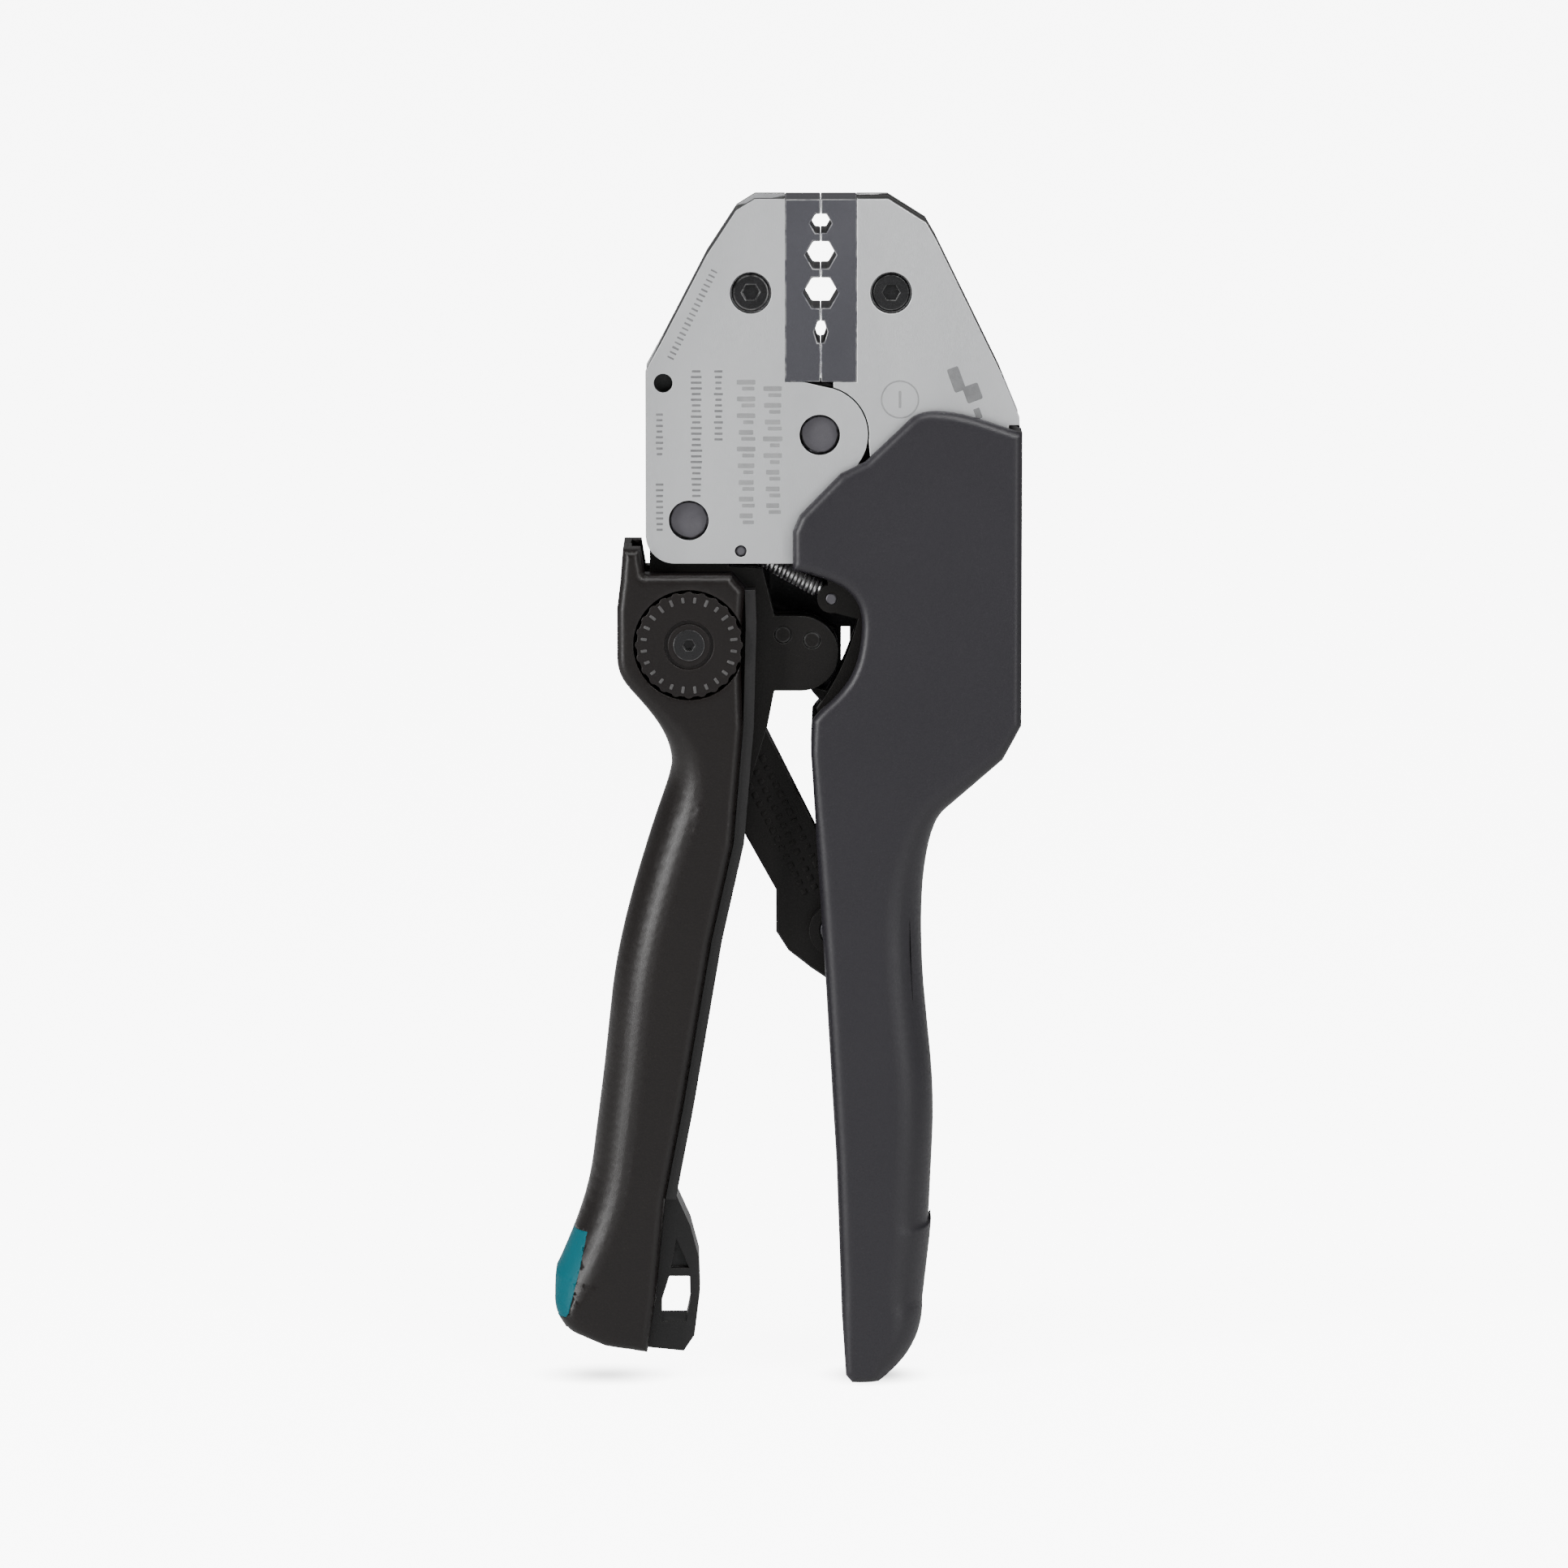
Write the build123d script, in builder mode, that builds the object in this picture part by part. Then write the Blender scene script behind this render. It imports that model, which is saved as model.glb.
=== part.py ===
from build123d import *
from math import atan2, cos, hypot, radians, sin, sqrt
import os

os.makedirs("parts", exist_ok=True)

# A ratchet crimping tool with exchangeable hexagonal dies, standing with its jaws up and closed.
# X runs from the moving handle to the fixed handle, Y from front to back, Z up.
# Every outline is drawn in the XZ plane as (x, z), and every piece is a layer between two depths y.

# Pivots of the toggle linkage, closed
main_pivot = (6.0, 178.2)        # moving jaw on the frame
handle_pivot = (-18.2, 162.3)    # moving handle on the moving jaw
wheel_pivot = (-18.2, 139.4)     # toggle link on the moving handle
link_pivot = (9.0, 85.0)         # toggle link on the frame

# Overall outline
jaw_height = 43.6                # jaw tips above the main pivot
jaw_left = -26.2                 # back edge of the moving jaw
jaw_tail = 154.3                 # lower edge of the moving jaw
cover_right = 43.4               # back edge of the fixed handle's cover
grip_root = 70.0                 # height where the straight part of both grips ends
grip_length = 70.0               # from the grip root down to the fixed grip's tip

# Layers, counted from the middle of the tool
link_thickness = 3.6
core_thickness = 3.0             # steel plates of the frame and of the moving handle
jaw_thickness = 3.05             # outer plates of both jaws
skin_thickness = 2.5             # plastic covers
link_play = 0.15                 # link to the plates on each side of it
jaw_play = 0.10                  # moving jaw plates to the frame plates
cover_play = 0.40                # cover to the moving jaw plates

# Pins and fits
pivot_radius = 3.7
link_pin_radius = 3.0
pawl_pin_radius = 1.5
post_radius = 1.1
rivet_radius = 1.6
pin_recess = 1.4                 # the pivot pins' ends below the faces of the jaw plates
running_fit = 0.05               # radial, on every pin that turns
wheel_bolt_radius = 4.0
journal_radius = 3.4
eccentricity = 0.25              # of the journal that the toggle link sits on
open_pivot_play = 0.85           # radial, of the link's upper bore on the journal

# Dies
parting_x = 6.2
die_gap = 0.08
die_width = 6.6
die_floor = 188.0
tang_length = 10.4
tang_height = 11.0
tang_play = 0.2
screw_recess_radius = 3.85
screw_recess_depth = 1.9
screw_radius = 2.0

# Adjusting wheel
wheel_radius = 10.0
wheel_thickness = 2.2
wheel_play = 0.3

# Depths that follow from the layers
link_out = link_thickness / 2
core_in = link_out + link_play
core_out = core_in + core_thickness
jaw_in = core_out + jaw_play
jaw_out = core_out + jaw_thickness + jaw_play
cover_in = jaw_out + cover_play
cover_out = cover_in + skin_thickness

jaw_top = main_pivot[1] + jaw_height
grip_end = grip_root - grip_length
lobe_radius = 8.9                # moving jaw plate round the main pivot
frame_lobe_radius = 8.6
tongue_radius = 7.3              # handle plates round the handle pivot
moving_die_x = parting_x - die_gap / 2 - die_width
fixed_die_x = parting_x + die_gap / 2 + die_width
die_screw_height = jaw_top - 17.3
die_screw_offset = 6.3
tang_low = die_screw_height - tang_height / 2
wall = 2.4                       # side walls of covers and grips
cover_step = 180.0               # the jaw steps in here, above the cover's side wall
wheel_face = cover_out - 0.2
wheel_recess = wheel_thickness + 0.2
strip_width = 2.0
rail_out = cover_out - 1.6

# The ratchet: the arm's end moves on an arc round this point while the handle opens
arc_centre = (-32.3, 154.1)
sector_radius = 43.3
tooth_count = 7
tooth_depth = 0.9
sector_start = -17.0
tooth_angle = 1.9
arm_end = (2.5, 137.1)
arm_radius = 7.0
pawl_pivot = (11.0, 126.0)
pawl_length = 7.6
pawl_angle = atan2(arc_centre[1] - pawl_pivot[1], arc_centre[0] - pawl_pivot[0])
frame_arc_radius = 46.7

# Springs
jaw_post = (-8.6, 156.6)
frame_post = (8.2, 147.3)
spring_radius = 1.7
pawl_post = (22.5, 118.4)


def layer(y):
    """The sketch plane at depth y; its own z points to the front."""
    return Plane.XZ.offset(-y)


def save(piece, name):
    piece.part.label = name
    export_step(piece.part, f"parts/{name}.step")


def polar(centre, radius, angle):
    """The point at that radius and angle in degrees from centre."""
    return (centre[0] + radius * cos(radians(angle)), centre[1] + radius * sin(radians(angle)))


def tangent_point(point, centre, radius, side):
    """Where the line from point touches the circle; side is 1 or -1."""
    dx = point[0] - centre[0]
    dz = point[1] - centre[1]
    distance = hypot(dx, dz)
    along = radius / distance
    across = side * sqrt(1 - along**2)
    return (
        centre[0] + radius * (along * dx - across * dz) / distance,
        centre[1] + radius * (along * dz + across * dx) / distance,
    )


def shifted(points, dx):
    return [(x + dx, z) for x, z in points]


def pin(name, centre, radius, half_length, edge=0.3):
    """A plain round pin through the tool, with chamfered ends."""
    with BuildPart() as piece:
        with BuildSketch(layer(half_length)):
            with Locations(centre):
                Circle(radius)
        extrude(amount=2 * half_length)
        chamfer(piece.edges().filter_by(GeomType.CIRCLE), edge)
    save(piece, name)


def pin_group(name, centres, radius, y_back, y_front, edge=0.25):
    """Several equal pins as one group of solids."""
    with BuildPart() as piece:
        with BuildSketch(layer(y_back)):
            with Locations(*centres):
                Circle(radius)
        extrude(amount=y_back - y_front)
        chamfer(piece.edges().filter_by(GeomType.CIRCLE), edge)
    save(piece, name)


# Outlines

def jaw_slant(sign):
    """The sloping shoulder of a jaw, from its top edge outwards; sign -1 is the moving jaw."""
    if sign < 0:
        return [(-6.0, jaw_top), (-9.4, jaw_top - 2.1), (-14.9, jaw_top - 10.5), (-22.9, 195.9)]
    return [(18.6, jaw_top), (25.6, jaw_top - 4.4), (27.4, jaw_top - 7.5), (39.4, 189.8)]


def moving_jaw_outline():
    tail = (1.0, jaw_tail)
    lobe = tangent_point(tail, main_pivot, lobe_radius, 1)
    corner = 5.3
    ledge = (main_pivot[0] - 3.0, die_floor)
    lobe_top = polar(main_pivot, lobe_radius, 75)
    with BuildLine() as line:
        Polyline(
            ledge,
            (moving_die_x, die_floor),
            (moving_die_x, jaw_top),
            *jaw_slant(-1),
            (jaw_left, 189.9),
            (jaw_left, jaw_tail + corner),
        )
        bend = (jaw_left + corner * (1 - cos(radians(45))), jaw_tail + corner * (1 - sin(radians(45))))
        ThreePointArc((jaw_left, jaw_tail + corner), bend, (jaw_left + corner, jaw_tail))
        Polyline((jaw_left + corner, jaw_tail), tail, lobe)
        ThreePointArc(lobe, polar(main_pivot, lobe_radius, 0), lobe_top)
        Line(lobe_top, ledge)
    return line.edges()


def fixed_cheek_outline():
    """The light outer plates of the fixed jaw; below the cover's edge they step in behind it."""
    clear = lobe_radius + 0.25
    inner_right = cover_right - wall - 0.1
    ledge_x = main_pivot[0] + 2.5
    ledge_z = main_pivot[1] + sqrt(clear**2 - 2.5**2)
    arc_end = polar(main_pivot, clear, -8)
    with BuildLine() as line:
        Polyline(
            (ledge_x, ledge_z),
            (ledge_x, die_floor),
            (fixed_die_x, die_floor),
            (fixed_die_x, jaw_top),
            *jaw_slant(1),
            (cover_right - 0.5, 181.4),
            (cover_right - 0.5, cover_step),
            (inner_right, cover_step),
            (inner_right, 160.0),
            (20.0, 160.0),
            (16.0, 166.0),
            arc_end,
        )
        ThreePointArc(arc_end, polar(main_pivot, clear, 35), (ledge_x, ledge_z))
    return line.edges()


def jaw_core_outline():
    """The block between the moving jaw's plates, behind its die."""
    with BuildLine() as line:
        Polyline(
            (moving_die_x, 190.3),
            (moving_die_x, jaw_top - 0.3),
            *jaw_slant(-1)[1:],
            (jaw_left + 0.4, 189.9),
            (jaw_left + 0.4, 184.0),
            (-16.0, 184.0),
            (-9.0, 190.3),
            close=True,
        )
    return line.edges()


def frame_outline():
    """The steel plates that run from the fixed jaw down into the fixed grip."""
    right = cover_right - wall - 0.2
    lobe_left = polar(main_pivot, frame_lobe_radius, 190)
    lobe_top = polar(main_pivot, frame_lobe_radius, 60)
    lug = 2.6
    lug_low = (frame_post[0] + 0.6, frame_post[1] - lug)
    lug_high = (frame_post[0] - 0.6, frame_post[1] + lug)
    ear = 4.9
    ear_high = polar(link_pivot, ear, 130)
    ear_low = polar(link_pivot, ear, 230)
    with BuildLine() as line:
        Polyline(
            lobe_top,
            (fixed_die_x, die_floor - 1.5),
            (fixed_die_x, jaw_top - 0.2),
            *jaw_slant(1),
            (cover_right - 0.8, 181.4),
            (cover_right - 0.8, cover_step),
            (right, cover_step),
            (right, 126.0),
            (38.0, 119.5),
            (27.0, 109.5),
            (23.6, 103.0),
            (22.4, 92.0),
            (22.9, grip_root),
            (23.8, grip_end + 50.0),
            (22.8, grip_end + 16.0),
            (14.0, grip_end + 12.0),
            (12.6, grip_end + 30.0),
            (10.8, grip_root),
            (10.2, 78.0),
            ear_low,
        )
        ThreePointArc(ear_low, polar(link_pivot, ear, 180), ear_high)
        Polyline(
            ear_high,
            (8.8, 91.8),
            (7.8, 110.0),
            (7.3, 122.0),
            polar(arc_centre, frame_arc_radius, -36),
        )
        ThreePointArc(
            polar(arc_centre, frame_arc_radius, -36),
            polar(arc_centre, frame_arc_radius, -24),
            polar(arc_centre, frame_arc_radius, -13),
        )
        Line(polar(arc_centre, frame_arc_radius, -13), lug_low)
        ThreePointArc(lug_low, (frame_post[0] - lug, frame_post[1]), lug_high)
        Polyline(lug_high, (7.0, 153.0), lobe_left)
        ThreePointArc(lobe_left, polar(main_pivot, frame_lobe_radius, 125), lobe_top)
    return line.edges()


def cover_right_side():
    """The cover's back edge from the diagonal below its head down the grip."""
    return [
        (29.4, 108.3),
        (26.4, 102.0),
        (25.1, 91.0),
        (25.9, grip_root),
        (27.3, grip_end + 50.0),
        (26.6, grip_end + 30.0),
        (25.4, grip_end + 15.0),
    ]


def cover_outline():
    with BuildLine() as line:
        Polyline((1.0, 153.2), (1.0, 160.4), (2.3, 163.4), (9.8, 171.1), (14.4, 173.4), (22.7, 181.3))
        Spline(
            (22.7, 181.3),
            (29.5, 182.6),
            (36.5, 181.0),
            (cover_right, 178.7),
            tangents=((1, 0.9), (1, -0.32)),
        )
        Polyline(
            (cover_right, 178.7),
            (cover_right, 124.2),
            (cover_right - 3.4, 117.8),
            (29.4, 108.3),
        )
        Spline(*cover_right_side(), tangents=((-1, -0.91), (-0.12, -1)))
        ThreePointArc((25.4, grip_end + 15.0), (23.2, grip_end + 6.0), (17.2, grip_end))
        Polyline(
            (17.2, grip_end),
            (12.2, grip_end),
            (11.0, grip_end + 1.4),
            (10.2, grip_end + 13.3),
            (9.2, grip_end + 42.0),
            (7.3, grip_root + 4.6),
            (4.4, 119.0),
            (4.7, 125.2),
        )
        Spline(
            (4.7, 125.2),
            (8.2, 128.9),
            (12.0, 133.8),
            (13.7, 140.5),
            (13.2, 146.6),
            (10.6, 149.8),
            (6.0, 151.9),
            (1.0, 153.2),
            tangents=((0.6, 1), (-1, 0.15)),
        )
    return line.edges()


def cover_cavity():
    """The hollow inside the cover; it is open towards both jaws and the ratchet arm."""
    return [
        (-20.0, 200.0),
        (cover_right - wall, 200.0),
        (cover_right - wall, 125.0),
        (cover_right - 3.4 - 1.6, 119.6),
        (28.4, 110.6),
        *shifted(cover_right_side()[1:], -wall),
        (20.8, grip_end + 6.8),
        (16.4, grip_end + wall),
        (13.4, grip_end + wall),
        (10.2 + wall, grip_end + 13.3),
        (9.2 + wall, grip_end + 42.0),
        (7.3 + wall, grip_root + 4.6),
        (4.6 + wall, 119.0),
        (4.7 + wall, 122.3),
        (-20.0, 122.3),
    ]


# The moving handle's right-hand edge, from the head down to the start of the lanyard tail
handle_edge = [
    (-5.9, 149.5),
    (-5.7, 143.0),
    (-6.2, 124.0),
    (-8.0, 102.1),
    (-12.1, 83.8),
    (-14.4, grip_root),
    (-17.5, grip_end + 52.0),
    (-20.8, grip_end + 34.8),
]


def grip_outline(inset):
    """The moving handle's plastic grip; inset is taken off its right-hand edge."""
    edge = shifted(handle_edge, -inset)
    with BuildLine() as line:
        Polyline(
            edge[0],
            (edge[0][0] - 2.5, 152.4),
            (-26.4, 152.4),
            (-27.2, 157.2),
            (-30.4, 157.2),
            (-30.9, 151.0),
            (-31.5, 146.0),
            (-31.5, 137.0),
        )
        Spline(
            (-31.5, 137.0),
            (-28.0, 129.8),
            (-22.6, 122.0),
            (-21.5, 117.0),
            (-23.2, 110.0),
            (-28.0, 95.0),
            (-32.2, 77.0),
            (-34.2, grip_end + 59.5),
            (-35.9, grip_end + 46.0),
            (-38.0, grip_end + 34.0),
            (-43.2, grip_end + 20.6),
            (-43.6, grip_end + 16.0),
            tangents=((0, -1), (0, -1)),
        )
        ThreePointArc(
            (-43.6, grip_end + 16.0), (-42.6, grip_end + 11.9), (-39.4, grip_end + 9.1)
        )
        Polyline(
            (-39.4, grip_end + 9.1),
            (-34.0, grip_end + 6.9),
            (-26.2, grip_end + 5.7),
            (-24.6, grip_end + 16.0),
            *reversed(edge),
        )
    return line.edges()


def handle_plate_outline():
    """The steel core of the moving handle: tongue, head, ratchet arm and grip core."""
    tongue_left = polar(handle_pivot, tongue_radius, 180)
    tongue_right = polar(handle_pivot, tongue_radius, 0)
    arm_high = (arm_end[0], arm_end[1] + arm_radius)
    arm_low = (arm_end[0], arm_end[1] - arm_radius)
    with BuildLine() as line:
        ThreePointArc(tongue_left, polar(handle_pivot, tongue_radius, 90), tongue_right)
        Polyline(
            tongue_right,
            (tongue_right[0], 153.4),
            (-4.6, 153.0),
            (-2.4, arm_high[1]),
            arm_high,
        )
        ThreePointArc(arm_high, (arm_end[0] + arm_radius, arm_end[1]), arm_low)
        Polyline(
            arm_low,
            (-2.4, arm_low[1]),
            (-3.7, 123.4),
            (-8.4, 108.0),
            (-10.4, 101.6),
            (-14.4, 83.4),
            (-16.8, grip_root),
            (-20.6, grip_end + 50.0),
            (-23.6, grip_end + 34.0),
            (-32.0, grip_end + 34.0),
            (-33.0, grip_end + 47.0),
            (-31.2, grip_root),
            (-28.6, 84.0),
            (-24.4, 97.0),
            (-19.4, 111.0),
            (-18.4, 117.0),
            (-20.4, 123.4),
            (-26.4, 131.8),
            (-28.8, 137.6),
            (-28.8, 149.0),
            (tongue_left[0], 151.9),
            tongue_left,
        )
    return line.edges()


def link_outline():
    """The toggle link, from the boss on the wheel bolt to the broad foot on the frame pin."""
    dx = link_pivot[0] - wheel_pivot[0]
    dz = link_pivot[1] - wheel_pivot[1]
    length = hypot(dx, dz)
    ax = dx / length
    az = dz / length

    def at(along, across):
        """A point at that distance along the link, across it to the right."""
        return (
            wheel_pivot[0] + along * ax - across * az,
            wheel_pivot[1] + along * az + across * ax,
        )

    boss = 7.6
    foot = 10.3
    with BuildLine() as line:
        Polyline(
            at(5.2, 5.4),
            at(15.0, 4.7),
            at(22.0, 5.3),
            at(46.0, 5.3),
            at(length - 5.0, 7.6),
            at(length + 1.5, 8.2),
        )
        ThreePointArc(at(length + 1.5, 8.2), at(length + 7.2, 4.0), (link_pivot[0] - 0.6, link_pivot[1] - foot))
        Polyline(
            (link_pivot[0] - 0.6, link_pivot[1] - foot),
            (4.4, 77.4),
            (0.2, 80.7),
            (-2.1, 84.3),
            (-2.1, 92.2),
            at(38.0, -7.2),
            at(10.0, -7.2),
            at(3.0, -7.0),
        )
        ThreePointArc(at(3.0, -7.0), at(-boss, 0), at(5.2, 5.4))
    return line.edges()


# Dies

def nest(centre_z, width, height):
    """One hexagonal crimping nest, centred on the parting plane."""
    z = centre_z
    with BuildLine() as line:
        Polyline(
            (parting_x - width / 2, z),
            (parting_x - width / 4, z + height / 2),
            (parting_x + width / 4, z + height / 2),
            (parting_x + width / 2, z),
            (parting_x + width / 4, z - height / 2),
            (parting_x - width / 4, z - height / 2),
            close=True,
        )
    return line.edges()


nests = (
    (jaw_top - 4.5, 4.0, 3.5),
    (jaw_top - 10.3, 5.7, 5.0),
    (die_screw_height, 6.5, 5.6),
    (jaw_top - 24.5, 2.4, 4.0),
)

for name, near_x, far_x, tang_x, screw_x in (
    (
        "moving_die",
        moving_die_x + die_width,
        moving_die_x,
        moving_die_x - tang_length,
        moving_die_x - die_screw_offset,
    ),
    (
        "fixed_die",
        fixed_die_x - die_width,
        fixed_die_x,
        fixed_die_x + tang_length,
        fixed_die_x + die_screw_offset,
    ),
):
    with BuildPart() as die:
        with BuildSketch(layer(jaw_out)):
            with Locations(((near_x + far_x) / 2, (die_floor + jaw_top) / 2)):
                Rectangle(die_width, jaw_top - die_floor)
            for centre_z, width, height in nests:
                make_face(nest(centre_z, width, height), mode=Mode.SUBTRACT)
        extrude(amount=2 * jaw_out)
        with BuildSketch(layer(core_out - tang_play / 2)):
            with Locations(((far_x + tang_x) / 2, die_screw_height)):
                Rectangle(abs(far_x - tang_x), tang_height)
            with Locations((screw_x, die_screw_height)):
                Circle(screw_radius, mode=Mode.SUBTRACT)
        extrude(amount=2 * core_out - tang_play)
    save(die, name)

moving_screw = (moving_die_x - die_screw_offset, die_screw_height)
fixed_screw = (fixed_die_x + die_screw_offset, die_screw_height)
for name, centre in (("moving_die_screw", moving_screw), ("fixed_die_screw", fixed_screw)):
    head_front = -(jaw_out - 0.6)
    head_back = -(jaw_out - screw_recess_depth)
    with BuildPart() as screw:
        with BuildSketch(layer(head_back)):
            with Locations(centre):
                Circle(screw_recess_radius - 0.35)
        extrude(amount=head_back - head_front)
        chamfer(screw.edges().filter_by(GeomType.CIRCLE).sort_by(Axis.Y)[0], 0.3)
        with BuildSketch(layer(jaw_out - 0.2)):
            with Locations(centre):
                Circle(screw_radius)
        extrude(amount=jaw_out - 0.2 - head_back)
        with BuildSketch(layer(head_front)):
            with Locations(centre):
                RegularPolygon(1.45, 6, major_radius=False)
        extrude(amount=-0.9, mode=Mode.SUBTRACT)
    save(screw, name)


# Moving jaw

locator_hole = (-22.9, 187.8)
locator_radius = 1.75
dowels = ((-21.5, 191.5), (-6.0, jaw_top - 4.6))

for side, sign in (("front", -1), ("back", 1)):
    with BuildPart() as plate:
        with BuildSketch(layer(sign * jaw_in)):
            make_face(moving_jaw_outline())
            with Locations(main_pivot):
                Circle(pivot_radius + running_fit, mode=Mode.SUBTRACT)
            with Locations(handle_pivot):
                Circle(pivot_radius, mode=Mode.SUBTRACT)
            with Locations(jaw_post):
                Circle(post_radius, mode=Mode.SUBTRACT)
            with Locations(moving_screw):
                Circle(screw_radius, mode=Mode.SUBTRACT)
            if side == "front":
                with Locations(locator_hole):
                    Circle(locator_radius, mode=Mode.SUBTRACT)
        extrude(amount=-sign * (jaw_out - jaw_in))
        if side == "front":
            with BuildSketch(layer(-jaw_out)):
                with Locations(moving_screw):
                    Circle(screw_recess_radius)
            extrude(amount=-screw_recess_depth, mode=Mode.SUBTRACT)
        with BuildSketch(layer(sign * jaw_in)):
            with Locations(*dowels):
                Circle(rivet_radius)
        extrude(amount=-sign * (jaw_thickness - 1.2), mode=Mode.SUBTRACT)
    save(plate, f"moving_jaw_plate_{side}")

with BuildPart() as jaw_core:
    with BuildSketch(layer(jaw_in)):
        make_face(jaw_core_outline())
        with Locations((moving_die_x - (tang_length + tang_play) / 2, die_screw_height)):
            Rectangle(tang_length + tang_play, tang_height + 2 * tang_play, mode=Mode.SUBTRACT)
        with Locations(*dowels):
            Circle(rivet_radius, mode=Mode.SUBTRACT)
    extrude(amount=2 * jaw_in)
save(jaw_core, "moving_jaw_core")

dowel_reach = jaw_in + jaw_thickness - 1.2
pin_group("moving_jaw_dowels", dowels, rivet_radius, dowel_reach, -dowel_reach)
pin("handle_pivot_pin", handle_pivot, pivot_radius, jaw_out - pin_recess)
pin("jaw_spring_post", jaw_post, post_radius, jaw_out - 0.4)


# Fixed jaw and frame

jaw_rivets = ((24.5, 167.0), (36.0, 170.0))
grip_rivets = ((16.8, grip_end + 45.0), (17.2, grip_end + 28.0))
cover_screws = ((33.0, 148.0), (29.0, 121.0), (16.4, grip_end + 60.0), (18.0, grip_end + 19.0))
cover_screw_radius = 1.4


def frame_holes(spacer):
    """Holes through the frame plates, or only those that a spacer between them shares."""
    with Locations(*jaw_rivets, *grip_rivets):
        Circle(rivet_radius, mode=Mode.SUBTRACT)
    with Locations(*cover_screws):
        Circle(cover_screw_radius, mode=Mode.SUBTRACT)
    with Locations(main_pivot):
        Circle(pivot_radius, mode=Mode.SUBTRACT)
    if not spacer:
        with Locations(link_pivot):
            Circle(link_pin_radius, mode=Mode.SUBTRACT)
        with Locations(pawl_pivot):
            Circle(pawl_pin_radius, mode=Mode.SUBTRACT)
        with Locations(frame_post, pawl_post):
            Circle(post_radius, mode=Mode.SUBTRACT)
    pocket = tang_length + tang_play
    with Locations((fixed_die_x + pocket / 2, die_screw_height)):
        Rectangle(pocket, tang_height + 2 * tang_play, mode=Mode.SUBTRACT)


for side, sign in (("front", -1), ("back", 1)):
    with BuildPart() as plate:
        with BuildSketch(layer(sign * core_in)):
            make_face(frame_outline())
            frame_holes(spacer=False)
        extrude(amount=-sign * core_thickness)
    save(plate, f"frame_plate_{side}")

    with BuildPart() as cheek:
        with BuildSketch(layer(sign * core_out)):
            make_face(fixed_cheek_outline())
            with Locations(*jaw_rivets):
                Circle(rivet_radius, mode=Mode.SUBTRACT)
            with Locations(fixed_screw):
                Circle(screw_radius, mode=Mode.SUBTRACT)
        extrude(amount=-sign * (jaw_out - core_out))
        if side == "front":
            with BuildSketch(layer(-jaw_out)):
                with Locations(fixed_screw):
                    Circle(screw_recess_radius)
            extrude(amount=-screw_recess_depth, mode=Mode.SUBTRACT)
    save(cheek, f"fixed_cheek_{side}")

with BuildPart() as upper_spacer:
    with BuildSketch(layer(core_in)):
        make_face(frame_outline())
        frame_holes(spacer=True)
        with Locations((20.0, 155.0)):
            Rectangle(80.0, 400.0, align=(Align.CENTER, Align.MAX), mode=Mode.SUBTRACT)
    extrude(amount=2 * core_in)
save(upper_spacer, "frame_spacer_jaw")

with BuildPart() as lower_spacer:
    with BuildSketch(layer(core_in)):
        with BuildLine():
            Polyline(
                (14.2, grip_end + 14.0),
                (21.6, grip_end + 16.5),
                (22.4, grip_end + 50.0),
                (21.4, grip_end + 66.0),
                (12.4, grip_end + 66.0),
                (13.4, grip_end + 30.0),
                close=True,
            )
        make_face()
        with Locations(*grip_rivets):
            Circle(rivet_radius, mode=Mode.SUBTRACT)
        with Locations(cover_screws[2], cover_screws[3]):
            Circle(cover_screw_radius, mode=Mode.SUBTRACT)
    extrude(amount=2 * core_in)
save(lower_spacer, "frame_spacer_grip")

pin("main_pivot_pin", main_pivot, pivot_radius, jaw_out - pin_recess)
pin("link_pin", link_pivot, link_pin_radius, core_out)
pin("pawl_pin", pawl_pivot, pawl_pin_radius, core_out, 0.2)
pin("frame_spring_post", frame_post, post_radius, core_out, 0.2)
pin("pawl_spring_post", pawl_post, post_radius, core_out, 0.2)
pin_group("jaw_rivets", jaw_rivets, rivet_radius, jaw_out, -jaw_out)
pin_group("grip_rivets", grip_rivets, rivet_radius, core_out, -core_out)


# Fixed handle covers

# The back cover reaches over the return spring and the gap beside the ratchet arm, behind both jaws
spring_guard = (
    (-4.4, 152.0),
    (-4.4, 143.5),
    (0.5, 141.5),
    (4.5, 129.5),
    (8.0, 126.6),
    (15.0, 134.0),
    (15.5, 147.0),
    (12.0, 151.5),
    (3.0, 154.5),
)
guard_window = (10.9, 137.0)
guard_window_width = 1.6
guard_window_height = 6.3

link_slot_low = link_pivot[1] - 13.5
link_slot_high = 108.0
boss_radius = 3.6

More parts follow.
